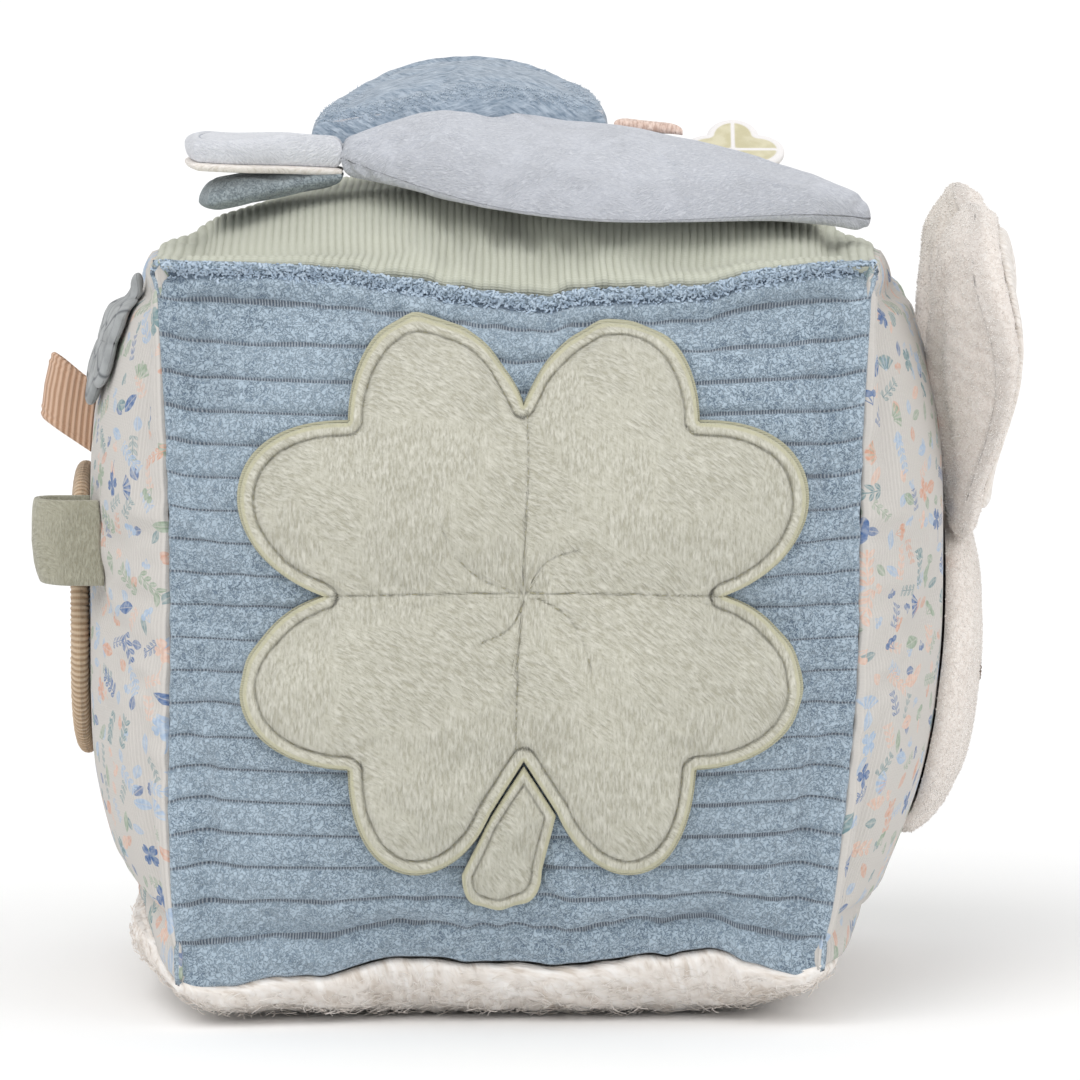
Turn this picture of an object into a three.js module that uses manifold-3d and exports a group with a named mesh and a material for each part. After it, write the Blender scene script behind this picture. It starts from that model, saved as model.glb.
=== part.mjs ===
// A soft fabric activity block: six sewn panels round a stuffed core with a rattle in its middle,
// a padded clover on the front, a bird on top, a rabbit head with loose ears on the right, and a
// mirror, two ribbon loops and a flower patch on the left. Millimetres, +Z up, front towards -Y.
import * as THREE from "three";
import { mergeVertices } from "three/addons/utils/BufferGeometryUtils.js";
import Module from "manifold-3d";

const wasm = await Module();
wasm.setup();

// The block
const BLOCK_EDGE = 150;
const FRONT_CROWN = 14;
const SIDE_CROWN = 18;
const TOP_CROWN = 14;
const BOTTOM_CROWN = 14;
const CROWN_POWER = 4;
const FRONT_POWER = 3;
const RESTING_POWER = 6;
const RESTING_DEPTH = 0.5;
const UPRIGHT_EDGE_DRAW = 2.5;
const FRONT_EDGE_DRAW = 5.5;
const SIDE_EDGE_BOW = 4;
const RESTING_DRAW_SHARE = 0.2;
const CORNER_POWER = 4;
const PANEL_THICK = 3;
const PANEL_DIVISIONS = 10;
const FRONT_COLUMNS = 8;
const DIVISION_POWER = 1.4;
const SEAM_GAP = 0.3;
const SEAT_GAP = 0.3;
const FILL_GAP = 0.8;
const APPLIQUE_GAP = 0.6;

// The front fabric's wide wales
const WALE_COUNT = 21;
const WALE_DEPTH = 1.8;
const WALE_SHOULDER_SHARES = [0, 0.24, 0.76];

// The rattle in the middle of the stuffing
const RATTLE_RADIUS = 18;
const RATTLE_WALL = 1.6;
const RATTLE_BEAD_RADIUS = 5;
const RATTLE_SEGMENTS = 18;
const RATTLE_ARC_STEPS = 4;

// The clover on the front
const CLOVER_ACROSS = 1.7;
const CLOVER_ABOVE_MIDDLE = 7.2;
const CLOVER_CORNER = 37.5;
const CLOVER_NOTCH = 43;
const CLOVER_NOTCH_LEAN = 8;
const CLOVER_LOBE_TOP = 67;
const CLOVER_STEM_NOTCH = 35.5;
const CLOVER_BACKING_THICK = 0.8;
const CLOVER_PAD_THICK = 5;
const CLOVER_EDGE_THICK = 1.6;
const CLOVER_SEAM_SHARE = 0.42;
const CLOVER_SEAM_REACH = 19;
const CLOVER_POINTS = 60;
const STEM_LENGTH = 35;
const STEM_SHOULDER_SHARE = 0.33;
const STEM_TIP_GAP = 1.2;
const STEM_SIDE_GAP = 0.6;
const STEM_TOP_HALF = 7;
const STEM_FOOT_HALF = 9;
const STEM_LEAN = 5;
const STEM_THICK = 4;
const STEM_POINTS = 28;

// The mirror on the left
const MIRROR_RADIUS = 33;
const MIRROR_RING_WIDE = 7;
const MIRROR_RING_THICK = 4;
const MIRROR_FILM_THICK = 1.2;
const MIRROR_BELOW_MIDDLE = 5;
const MIRROR_SEGMENTS = 36;

// The two loops on the left
const LOOP_FABRIC = 1.8;
const LOOP_SPAN = 12;
const LOOP_ARC_STEPS = 5;
const RIBBED_LOOP_WIDE = 15;
const RIBBED_LOOP_OUT = 12;
const RIBBED_LOOP_RISE = 8;
const RIBBED_LOOP_CLEAR = 3.5;
const RIBBED_LOOP_FORWARD = 12;
const VELOUR_LOOP_WIDE = 19;
const VELOUR_LOOP_OUT = 13;
const VELOUR_LOOP_CLEAR = 3;
const VELOUR_LOOP_ABOVE_MIRROR = 19;

// The flower patch on the left
const FLOWER_RADIUS = 12.5;
const FLOWER_SCALLOP = 1.3;
const FLOWER_PETALS = 6;
const FLOWER_THICK = 3;
const FLOWER_LIFT = 0.6;
const FLOWER_FORWARD = 36;
const FLOWER_ABOVE_MIDDLE = 57;
const FLOWER_POINTS = 36;

// The rabbit on the right
const HEAD_HALF_WIDE = 36;
const HEAD_HALF_HIGH = 37;
const HEAD_THICK = 8.5;
const HEAD_BELOW_MIDDLE = 19;
const HEAD_POINTS = 40;
const EAR_LENGTH = 74.5;
const EAR_HALF_WIDE = 19;
const EAR_ROOT_HALF = 9;
const EAR_SHELL = 7;
const EAR_LINING = 3.5;
const EAR_CUP = 12;
const EAR_SPLAY = THREE.MathUtils.degToRad(22);
const EAR_STAND_OFF = 1;
const EAR_BELLY = 3.5;
const EAR_TIP_OUT = 1.5;
const EAR_POINTS = 32;
const EAR_LINING_SHARE = 0.84;
const EAR_MIDDLE_SHARE = 0.55;
const EAR_BULGE_SHARE = 0.75;

// The bird on top
const BIRD_LEFT = -38;
const BIRD_RIGHT = 77;
const BIRD_NECK_FRONT = -41;
const BIRD_NECK_BACK = -29;
const BIRD_TIP_DEPTH = -43;
const BIRD_TIP_HALF = 5;
const BIRD_FRONT_BELLY = -73;
const BIRD_BACK_BELLY = 4;
const BIRD_MIDDLE = 0;
const BIRD_ABOVE = 11;
const BIRD_BELOW = 4;
const BIRD_LIFT = 0.6;
const BIRD_NECK_LIFT = 4.4;
const BIRD_TIP_DROP = 8;
const BIRD_POINTS = 44;
const WING_ROOT_DEPTH = -22;
const WING_LENGTH = 65;
const WING_REACH = 42;
const WING_THICK = 5;
const WING_LINING_THICK = 2.2;
const WING_LEFT = -45;
const WING_RISE = 5;
const WING_DROP = 3;
const WING_DROOP = 3.8;
const WING_SEAT_SHARE = 0.98;
const WING_CROWN_SHARE = 1.2;
const WING_ARCH_POWER = 2;
const WING_POINTS = 32;
const CORAL_LENGTH = 15;
const CORAL_REACH = 24;
const CORAL_THICK = 2.4;
const CORAL_GAP = 1.2;
const CORAL_RISE = -1;
const CORAL_LIFT = 0.4;
const CORAL_POINTS = 20;
const TAIL_LENGTH = 31;
const TAIL_HALF_WIDE = 17;
const TAIL_ROOT_HALF = 5;
const TAIL_THICK = 4.2;
const TAIL_UNDERSIDE_THICK = 2;
const TAIL_RISE = 2;
const LOWER_TAIL_LENGTH = 28;
const LOWER_TAIL_HALF_WIDE = 14;
const LOWER_TAIL_THICK = 4;
const LOWER_TAIL_DROP = 5;
const LOWER_TAIL_NEST = 1.1;
const TAIL_POINTS = 24;

// The small clover patch on top
const PATCH_RADIUS = 9.8;
const PATCH_SCALLOP = 1.6;
const PATCH_LEAVES = 4;
const PATCH_THICK = 2;
const PATCH_ACROSS = 48;
const PATCH_DEPTH = 4;
const PATCH_LEAN = THREE.MathUtils.degToRad(34);
const PATCH_POINTS = 32;

// The edge of the cube, from -1 to 1 each way, that is moved to the block's form
const UNIT_CUBE = 2;

// Where the main seams and surfaces lie
const CORAL_LEFT = WING_LEFT + WING_LENGTH + CORAL_GAP;
const BLOCK_HALF = BLOCK_EDGE / 2;
const BLOCK_MIDDLE = BLOCK_HALF + BOTTOM_CROWN - RESTING_DEPTH;
const CORE_INSET = PANEL_THICK + FILL_GAP;
const SIDE_REACH = BLOCK_HALF + SIDE_CROWN;
const TOP_SEAM = BLOCK_MIDDLE + BLOCK_HALF;
const HEAD_MIDDLE = BLOCK_MIDDLE - HEAD_BELOW_MIDDLE;

// Crown and edge draw-in of each face, by axis, low side first
const CROWNS = [
  [
    { height: SIDE_CROWN, power: CROWN_POWER },
    { height: SIDE_CROWN, power: CROWN_POWER },
  ],
  [
    { height: FRONT_CROWN, power: FRONT_POWER },
    { height: FRONT_CROWN, power: FRONT_POWER },
  ],
  [
    { height: BOTTOM_CROWN, power: RESTING_POWER },
    { height: TOP_CROWN, power: CROWN_POWER },
  ],
];
const EDGE_DRAWS = [FRONT_EDGE_DRAW, -SIDE_EDGE_BOW, UPRIGHT_EDGE_DRAW];
const OTHER_AXES = [
  [1, 2],
  [0, 2],
  [0, 1],
];

const X = new THREE.Vector3(1, 0, 0);
const Y = new THREE.Vector3(0, 1, 0);
const Z = new THREE.Vector3(0, 0, 1);

// Each face of the block by the directions of its width, its height and its outside
const FACES = {
  front: { across: X, up: Z, out: Y.clone().negate() },
  back: { across: X.clone().negate(), up: Z, out: Y },
  right: { across: Y, up: Z, out: X },
  left: { across: Y.clone().negate(), up: Z, out: X.clone().negate() },
  top: { across: X, up: Y, out: Z },
  bottom: { across: X, up: Y.clone().negate(), out: Z.clone().negate() },
};

// A face turned a quarter, so that its mesh is split along the same diagonals as the stuffing's
function turned(face) {
  return { across: face.up, up: face.across.clone().negate(), out: face.out };
}

function material(color, roughness) {
  return new THREE.MeshStandardMaterial({ color, roughness, metalness: 0 });
}

const MATERIALS = {
  bluePlush: material(0x96b2cd, 0.95),
  sageRib: material(0xbec3ac, 0.9),
  printedCotton: material(0xf0ece6, 0.85),
  sherpa: material(0xe1d7cd, 1),
  stuffing: material(0xf2f0ea, 1),
  sageVelour: material(0xcccabb, 0.8),
  sageFelt: material(0xb9b894, 0.95),
  tanRib: material(0xe1c3a0, 0.85),
  terracottaRib: material(0xc8a087, 0.8),
  sageLoop: material(0xa5aa91, 0.8),
  greyPatch: material(0xa9b7bd, 0.7),
  creamVelour: material(0xe6ddd2, 0.85),
  lightVelour: material(0xd4d7e0, 0.8),
  darkPlush: material(0x8296a5, 0.95),
  coralVelour: material(0xeec3aa, 0.8),
  olivePatch: material(0xc3be96, 0.6),
  casePlastic: material(0xf4f4f0, 0.35),
  beadPlastic: material(0x8fa9bf, 0.3),
  mirrorFilm: new THREE.MeshStandardMaterial({ color: 0xe4e8ea, roughness: 0.08, metalness: 0.9 }),
};

// 1 in the middle of a face and 0 at its seams
function swellAt(share, power) {
  return 1 - Math.abs(share) ** power;
}

// A point of the unit cube moved to its place in the stuffed block, inset below the outer surface
function puffed(unit, inset) {
  const half = BLOCK_HALF - inset;
  const shares = unit.toArray();
  const places = shares.map((share, axis) => {
    const [one, two] = OTHER_AXES[axis];
    const size = Math.abs(share);
    const side = CROWNS[axis][share < 0 ? 0 : 1];
    const swell = side.height * swellAt(shares[one], side.power) * swellAt(shares[two], side.power);
    const drawnAlongTwo = Math.abs(shares[one]) ** CORNER_POWER * EDGE_DRAWS[two] * (1 - shares[two] ** 2);
    const drawnAlongOne = Math.abs(shares[two]) ** CORNER_POWER * EDGE_DRAWS[one] * (1 - shares[one] ** 2);
    const drawShare = axis === 2 && share < 0 ? RESTING_DRAW_SHARE : 1;
    const moved = size ** CORNER_POWER * (swell - drawShare * (drawnAlongTwo + drawnAlongOne));
    return Math.sign(share) * (half * size + moved);
  });
  const point = new THREE.Vector3(...places);
  point.z = Math.max(point.z + BLOCK_MIDDLE, inset);
  return point;
}

// Moves every vertex of a geometry by a function of its place and index
function shaped(geometry, place) {
  const position = geometry.getAttribute("position");
  const point = new THREE.Vector3();
  for (let i = 0; i < position.count; i += 1) {
    point.fromBufferAttribute(position, i);
    point.copy(place(point, i));
    position.setXYZ(i, point.x, point.y, point.z);
  }
  geometry.computeVertexNormals();
  return geometry;
}

// A place on a face: millimetres across and up from its middle, and out from its outer surface
function onFace(face, across, up, out) {
  const unit = face.out.clone();
  unit.addScaledVector(face.across, across / BLOCK_HALF);
  unit.addScaledVector(face.up, up / BLOCK_HALF);
  return puffed(unit, 0).addScaledVector(face.out, out);
}

// Moves even divisions of a face towards its seams, where it curves most
function towardsSeam(share) {
  return Math.sign(share) * (1 - (1 - Math.abs(share)) ** DIVISION_POWER);
}

// One of the block's six fabric panels; the rows follow the wales where the fabric has them
function panel(face, columns, waleShares = [0]) {
  const reach = 1 - SEAM_GAP / BLOCK_HALF;
  const rowsInWale = waleShares.length;
  const rows = rowsInWale > 1 ? WALE_COUNT * rowsInWale : columns;
  const geometry = new THREE.BoxGeometry(UNIT_CUBE * reach, UNIT_CUBE * reach, 1, columns, rows, 1);
  return shaped(geometry, (point) => {
    const outer = point.z > 0;
    const column = Math.round(((point.x / reach + 1) / 2) * columns);
    const row = Math.round(((point.y / reach + 1) / 2) * rows);
    const inWale = row % rowsInWale;
    const waleHeight = (((row - inWale) / rowsInWale + waleShares[inWale]) / WALE_COUNT) * 2 - 1;
    const across = towardsSeam((2 * column) / columns - 1);
    const height = rowsInWale > 1 ? waleHeight : towardsSeam((2 * row) / rows - 1);
    const atSeam = column === 0 || column === columns || row === 0 || row === rows;
    const unit = face.out.clone();
    unit.addScaledVector(face.across, across * reach);
    unit.addScaledVector(face.up, height * reach);
    const placed = puffed(unit, outer ? 0 : PANEL_THICK);
    const groove = outer && !atSeam && rowsInWale > 1 && inWale === 0;
    return groove ? placed.addScaledVector(face.out, -WALE_DEPTH) : placed;
  });
}

// A closed mesh as a solid that can be cut
function solidOf(geometry) {
  const bare = new THREE.BufferGeometry();
  bare.setAttribute("position", geometry.getAttribute("position"));
  bare.setIndex(geometry.index);
  const merged = mergeVertices(bare);
  const vertProperties = merged.getAttribute("position").array;
  const triVerts = new Uint32Array(merged.index.array);
  return new wasm.Manifold(new wasm.Mesh({ numProp: 3, vertProperties, triVerts }));
}

function geometryOf(solid) {
  const mesh = solid.getMesh();
  const geometry = new THREE.BufferGeometry();
  geometry.setAttribute("position", new THREE.BufferAttribute(mesh.vertProperties, 3));
  geometry.setIndex(new THREE.BufferAttribute(mesh.triVerts, 1));
  geometry.computeVertexNormals();
  return geometry;
}

// Half of the stuffing, above or below the block's middle, hollowed for the rattle
function stuffingHalf(side) {
  const cut = SEAT_GAP / BLOCK_EDGE;
  const block = new THREE.BoxGeometry(
    UNIT_CUBE, UNIT_CUBE, 1 - cut, PANEL_DIVISIONS, PANEL_DIVISIONS, PANEL_DIVISIONS / 2,
  );
  block.translate(0, 0, (side * (1 + cut)) / 2);
  const half = shaped(block, (point) => {
    const unit = new THREE.Vector3(...point.toArray().map(towardsSeam));
    return puffed(unit, CORE_INSET);
  });
  const hollow = new THREE.SphereGeometry(RATTLE_RADIUS + FILL_GAP, RATTLE_SEGMENTS, 2 * RATTLE_ARC_STEPS);
  hollow.rotateX(Math.PI / 2);
  hollow.translate(0, 0, BLOCK_MIDDLE);
  return geometryOf(solidOf(half).subtract(solidOf(hollow)));
}

// Half of the rattle's round case, a bowl with an open rim
function rattleHalf(side) {
  const profile = [];
  const rim = SEAT_GAP / 2;
  const inner = RATTLE_RADIUS - RATTLE_WALL;
  for (let i = 0; i <= RATTLE_ARC_STEPS; i += 1) {
    const angle = (i / RATTLE_ARC_STEPS) * (Math.PI / 2);
    profile.push(new THREE.Vector2(RATTLE_RADIUS * Math.sin(angle), -RATTLE_RADIUS * Math.cos(angle) - rim));
  }
  for (let i = RATTLE_ARC_STEPS; i >= 0; i -= 1) {
    const angle = (i / RATTLE_ARC_STEPS) * (Math.PI / 2);
    profile.push(new THREE.Vector2(inner * Math.sin(angle), -inner * Math.cos(angle) - rim));
  }
  profile[0].x = 0;
  profile[profile.length - 1].x = 0;
  const bowl = new THREE.LatheGeometry(profile, RATTLE_SEGMENTS);
  bowl.rotateX(Math.PI / 2);
  if (side > 0) bowl.rotateX(Math.PI);
  return bowl.translate(0, 0, BLOCK_MIDDLE);
}

// The bead, lying in the bottom of its case
function rattleBead() {
  const drop = RATTLE_RADIUS - RATTLE_WALL - RATTLE_BEAD_RADIUS - SEAT_GAP;
  const bead = new THREE.SphereGeometry(RATTLE_BEAD_RADIUS, 2 * RATTLE_ARC_STEPS, RATTLE_ARC_STEPS + 1);
  bead.rotateX(Math.PI / 2);
  return bead.translate(0, 0, BLOCK_MIDDLE - drop);
}

// How a stuffed pad's height falls from its middle to its edge and back under it:
// share of the way out, share of the height above the edge, share of the height below it
const PAD_RING_SHARES = [
  { out: 0, below: 1 },
  { out: 0.5, below: 1 },
  { out: 0.88, below: 0.62 },
  { out: 0.97, below: 0.3 },
  { out: 1, below: 0 },
  { out: 0.97, above: 0.3 },
  { out: 0.9, above: 0.55 },
  { out: 0.68, above: 0.86 },
  { out: 0.36, above: 0.98 },
  { out: 0, above: 1 },
];
// A ring for each share of the way out under a piece that lies on a curved panel
const SEAT_SHARES = [0, 0.36, 0.64, 0.84];
const SEAT_RING_SHARES = SEAT_SHARES.map((out) => ({ out, below: 1 }));
const SHEET_RING_SHARES = [
  ...SEAT_RING_SHARES,
  { out: 1, below: 1 },
  { out: 1, above: 1 },
  ...SEAT_SHARES.map((out) => ({ out, above: 1 })).reverse(),
];
const SEATED_RING_SHARES = [
  ...SEAT_RING_SHARES,
  { out: 1, above: 0 },
  { out: 0.92, above: 0.66 },
  { out: 0.7, above: 0.92 },
  { out: 0.36, above: 0.99 },
  { out: 0, above: 1 },
];
const FLAT_RING_SHARES = [
  { out: 0, below: 1 },
  { out: 0.5, below: 1 },
  { out: 1, below: 1 },
  { out: 1, above: 1 },
  { out: 0.5, above: 1 },
  { out: 0, above: 1 },
];

// A pad from its outline: rings shrink towards the middle while they rise and fall.
// The outline runs anticlockwise in x and y, and z is the pad's height.
function pad(outline, middle, rings, above, below) {
  const profile = rings.map((ring, i) => new THREE.Vector2(ring.out, i));
  const count = outline.length;
  const geometry = new THREE.LatheGeometry(profile, count);
  return shaped(geometry, (point, i) => {
    const edge = outline[Math.floor(i / rings.length) % count];
    const ring = rings[i % rings.length];
    const height = ring.below === undefined ? ring.above * above : -ring.below * below;
    const x = THREE.MathUtils.lerp(middle.x, edge.x, ring.out);
    const y = THREE.MathUtils.lerp(middle.y, edge.y, ring.out);
    return point.set(x, y, height);
  });
}

// Evenly spaced points of a closed path, without its repeated last one
function outlinePoints(path, count) {
  return path.getSpacedPoints(count).slice(0, count);
}

// A scalloped round outline, as a flower or a small clover has, with a lobe at the bottom
function scalloped(radius, scallop, lobes, count) {
  const points = [];
  for (let i = 0; i < count; i += 1) {
    const angle = (i / count) * 2 * Math.PI;
    const lobe = Math.abs(Math.cos(((angle + Math.PI / 2) * lobes) / 2));
    const reach = radius + scallop * (lobe * 2 - 1);
    points.push(new THREE.Vector2(reach * Math.cos(angle), reach * Math.sin(angle)));
  }
  return points;
}

// The clover's outline: four heart petals, each of two lobes, with a notch below for the stem
function cloverPath() {
  const path = new THREE.Path();
  const side = STEM_TOP_HALF + SEAT_GAP;
  const footDepth = CLOVER_STEM_NOTCH + STEM_LENGTH * STEM_SHOULDER_SHARE;
  path.moveTo(0, -CLOVER_STEM_NOTCH);
  path.lineTo(side, -footDepth);
  path.bezierCurveTo(
    side + CLOVER_NOTCH_LEAN, -CLOVER_LOBE_TOP,
    CLOVER_CORNER, -CLOVER_LOBE_TOP,
    CLOVER_CORNER, -CLOVER_CORNER,
  );
  path.bezierCurveTo(
    CLOVER_LOBE_TOP, -CLOVER_CORNER, CLOVER_LOBE_TOP, -CLOVER_NOTCH_LEAN, CLOVER_NOTCH, 0,
  );
  path.bezierCurveTo(
    CLOVER_LOBE_TOP, CLOVER_NOTCH_LEAN, CLOVER_LOBE_TOP, CLOVER_CORNER, CLOVER_CORNER, CLOVER_CORNER,
  );
  path.bezierCurveTo(
    CLOVER_CORNER, CLOVER_LOBE_TOP, CLOVER_NOTCH_LEAN, CLOVER_LOBE_TOP, 0, CLOVER_NOTCH,
  );
  path.bezierCurveTo(
    -CLOVER_NOTCH_LEAN, CLOVER_LOBE_TOP, -CLOVER_CORNER, CLOVER_LOBE_TOP, -CLOVER_CORNER, CLOVER_CORNER,
  );
  path.bezierCurveTo(
    -CLOVER_LOBE_TOP, CLOVER_CORNER, -CLOVER_LOBE_TOP, CLOVER_NOTCH_LEAN, -CLOVER_NOTCH, 0,
  );
  path.bezierCurveTo(
    -CLOVER_LOBE_TOP, -CLOVER_NOTCH_LEAN, -CLOVER_LOBE_TOP, -CLOVER_CORNER, -CLOVER_CORNER, -CLOVER_CORNER,
  );
  path.bezierCurveTo(
    -CLOVER_CORNER, -CLOVER_LOBE_TOP, -side - CLOVER_NOTCH_LEAN, -CLOVER_LOBE_TOP, -side, -footDepth,
  );
  path.lineTo(0, -CLOVER_STEM_NOTCH);
  return path;
}

// Puts clover-plane millimetres on the front panel
function onClover(x, y, out) {
  return onFace(FACES.front, CLOVER_ACROSS + x, CLOVER_ABOVE_MIDDLE + y, out);
}

function cloverBacking() {
  const outline = outlinePoints(cloverPath(), CLOVER_POINTS);
  const sheet = pad(outline, new THREE.Vector2(), SHEET_RING_SHARES, CLOVER_BACKING_THICK, 0);
  return shaped(sheet, (point) => onClover(point.x, point.y, point.z + APPLIQUE_GAP));
}

// The height of a seated pad over its own flat underside, for vertex i of its rings
function seatedHeight(point, i, thick) {
  const under = i % SEATED_RING_SHARES.length < SEAT_RING_SHARES.length;
  return under ? 0 : CLOVER_EDGE_THICK + point.z * (1 - CLOVER_EDGE_THICK / thick);
}

// The clover's velour face, pressed down along its upright and level seams
function cloverFace() {
  const outline = outlinePoints(cloverPath(), CLOVER_POINTS);
  const face = pad(outline, new THREE.Vector2(), SEATED_RING_SHARES, CLOVER_PAD_THICK, 0);
  const base = CLOVER_BACKING_THICK + 2 * APPLIQUE_GAP;
  return shaped(face, (point, i) => {
    const fromSeam = Math.min(Math.abs(point.x), Math.abs(point.y)) / CLOVER_SEAM_REACH;
    point.z *= THREE.MathUtils.lerp(CLOVER_SEAM_SHARE, 1, Math.min(1, fromSeam));
    return onClover(point.x, point.y, base + seatedHeight(point, i, CLOVER_PAD_THICK));
  });
}

function cloverStem() {
  const path = new THREE.Path();
  const shoulder = -CLOVER_STEM_NOTCH - STEM_LENGTH * STEM_SHOULDER_SHARE - STEM_SIDE_GAP;
  const foot = -CLOVER_STEM_NOTCH - STEM_LENGTH;
  const top = -CLOVER_STEM_NOTCH - STEM_TIP_GAP;
  path.moveTo(0, top);
  path.lineTo(-STEM_TOP_HALF, shoulder);
  path.lineTo(-STEM_LEAN - STEM_FOOT_HALF + SEAT_GAP, foot + STEM_FOOT_HALF);
  path.quadraticCurveTo(-STEM_LEAN - STEM_FOOT_HALF, foot, -STEM_LEAN, foot);
  path.quadraticCurveTo(
    -STEM_LEAN + STEM_FOOT_HALF, foot, -STEM_LEAN + STEM_FOOT_HALF, foot + STEM_FOOT_HALF,
  );
  path.lineTo(STEM_TOP_HALF, shoulder);
  path.lineTo(0, top);
  const outline = outlinePoints(path, STEM_POINTS);
  const middle = new THREE.Vector2(-STEM_LEAN / 2, (shoulder + foot) / 2);
  const stem = pad(outline, middle, SEATED_RING_SHARES, STEM_THICK, 0);
  return shaped(stem, (point, i) => {
    const out = APPLIQUE_GAP + seatedHeight(point, i, STEM_THICK);
    return onClover(point.x, point.y, out);
  });
}

// The mirror: a padded fabric ring round a thin reflecting film
function mirrorRing() {
  const inner = MIRROR_RADIUS - MIRROR_RING_WIDE;
  const middle = MIRROR_RADIUS - MIRROR_RING_WIDE / 2;
  const profile = [
    new THREE.Vector2(inner, 0),
    new THREE.Vector2(MIRROR_RADIUS, 0),
    new THREE.Vector2(MIRROR_RADIUS, MIRROR_RING_THICK / 2),
    new THREE.Vector2(middle, MIRROR_RING_THICK),
    new THREE.Vector2(inner, MIRROR_RING_THICK / 2),
    new THREE.Vector2(inner, 0),
  ];
  const ring = new THREE.LatheGeometry(profile, MIRROR_SEGMENTS).rotateX(Math.PI / 2);
  return shaped(ring, (point) =>
    onFace(FACES.left, point.x, point.y - MIRROR_BELOW_MIDDLE, point.z + SEAT_GAP),
  );
}

function mirrorFilm() {
  const radius = MIRROR_RADIUS - MIRROR_RING_WIDE - SEAT_GAP;
  const outline = scalloped(radius, 0, 1, MIRROR_SEGMENTS);
  const film = pad(outline, new THREE.Vector2(), FLAT_RING_SHARES, MIRROR_FILM_THICK, 0);
  return shaped(film, (point) =>
    onFace(FACES.left, point.x, point.y - MIRROR_BELOW_MIDDLE, point.z + SEAT_GAP),
  );
}

// A fabric loop sewn to the left panel, open from top to bottom
function loop(wide, out, rise, across, up) {
  const half = LOOP_SPAN / 2;
  const shape = new THREE.Shape();
  shape.moveTo(-half, 0);
  shape.lineTo(-half + LOOP_FABRIC, 0);
  shape.lineTo(-half + LOOP_FABRIC, out - half);
  shape.absarc(0, out - half, half - LOOP_FABRIC, Math.PI, 0, true);
  shape.lineTo(half - LOOP_FABRIC, 0);
  shape.lineTo(half, 0);
  shape.lineTo(half, out - half);
  shape.absarc(0, out - half, half, 0, Math.PI, false);
  const geometry = new THREE.ExtrudeGeometry(shape, {
    depth: wide,
    steps: 3,
    bevelEnabled: false,
    curveSegments: LOOP_ARC_STEPS,
  });
  return shaped(geometry, (point) => {
    const lifted = (rise * point.y) / out;
    return onFace(FACES.left, across + point.x, up + wide / 2 - point.z + lifted, point.y + SEAT_GAP);
  });
}

function ribbedLoop() {
  const up = MIRROR_RADIUS + RIBBED_LOOP_CLEAR + RIBBED_LOOP_WIDE / 2 - MIRROR_BELOW_MIDDLE;
  return loop(RIBBED_LOOP_WIDE, RIBBED_LOOP_OUT, RIBBED_LOOP_RISE, RIBBED_LOOP_FORWARD, up);
}

function velourLoop() {
  const across = MIRROR_RADIUS + VELOUR_LOOP_CLEAR + LOOP_SPAN / 2;
  const up = VELOUR_LOOP_ABOVE_MIRROR - MIRROR_BELOW_MIDDLE;
  return loop(VELOUR_LOOP_WIDE, VELOUR_LOOP_OUT, 0, across, up);
}

function flowerPatch() {
  const outline = scalloped(FLOWER_RADIUS, FLOWER_SCALLOP, FLOWER_PETALS, FLOWER_POINTS);
  const flower = pad(outline, new THREE.Vector2(), PAD_RING_SHARES, FLOWER_THICK, 0);
  return shaped(flower, (point) =>
    onFace(FACES.left, FLOWER_FORWARD + point.x, FLOWER_ABOVE_MIDDLE + point.y, FLOWER_LIFT + point.z),
  );
}

// The rabbit's padded head on the right panel
function rabbitHead() {
  const outline = [];
  for (let i = 0; i < HEAD_POINTS; i += 1) {
    const angle = (i / HEAD_POINTS) * 2 * Math.PI;
    outline.push(new THREE.Vector2(HEAD_HALF_WIDE * Math.cos(angle), HEAD_HALF_HIGH * Math.sin(angle)));
  }
  const head = pad(outline, new THREE.Vector2(), SEATED_RING_SHARES, HEAD_THICK, 0);
  return shaped(head, (point, i) => {
    const out = APPLIQUE_GAP + seatedHeight(point, i, HEAD_THICK);
    return onFace(FACES.right, point.x, point.y - HEAD_BELOW_MIDDLE, out);
  });
}

// An ear's outline, standing on its root: x across, y along
function earOutline() {
  const path = new THREE.Path();
  const wide = EAR_HALF_WIDE / EAR_BULGE_SHARE;
  path.moveTo(-EAR_ROOT_HALF, 0);
  path.lineTo(EAR_ROOT_HALF, 0);
  path.bezierCurveTo(wide, EAR_LENGTH / 2, wide, EAR_LENGTH, 0, EAR_LENGTH);
  path.bezierCurveTo(-wide, EAR_LENGTH, -wide, EAR_LENGTH / 2, -EAR_ROOT_HALF, 0);
  return outlinePoints(path, EAR_POINTS);
}

// Bends a flat ear to its cupped, leaning form and stands it on the head; side is -1 near, 1 far
function onHead(side, x, along, out) {
  const share = along / EAR_LENGTH;
  const cupped = EAR_CUP * Math.sin(Math.PI * share) * (x / EAR_HALF_WIDE) ** 2;
  const bellied = -EAR_BELLY * Math.sin(Math.PI * share) ** 2 + EAR_TIP_OUT * share ** 2;
  const turn = side * EAR_SPLAY;
  const rootDepth = (HEAD_HALF_WIDE + 2 * SEAT_GAP) * Math.sin(turn);
  const rootHeight = HEAD_MIDDLE + (HEAD_HALF_HIGH + 2 * SEAT_GAP) * Math.cos(turn);
  return new THREE.Vector3(
    SIDE_REACH + EAR_STAND_OFF + out + cupped + bellied,
    rootDepth + x * Math.cos(turn) + along * Math.sin(turn),
    rootHeight - x * Math.sin(turn) + along * Math.cos(turn),
  );
}

function ear(side) {
  const middle = new THREE.Vector2(0, EAR_LENGTH * EAR_MIDDLE_SHARE);
  const shell = pad(earOutline(), middle, PAD_RING_SHARES, EAR_SHELL / 2, EAR_SHELL / 2);
  return shaped(shell, (point) => onHead(side, point.x, point.y, point.z + EAR_SHELL / 2));
}

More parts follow.
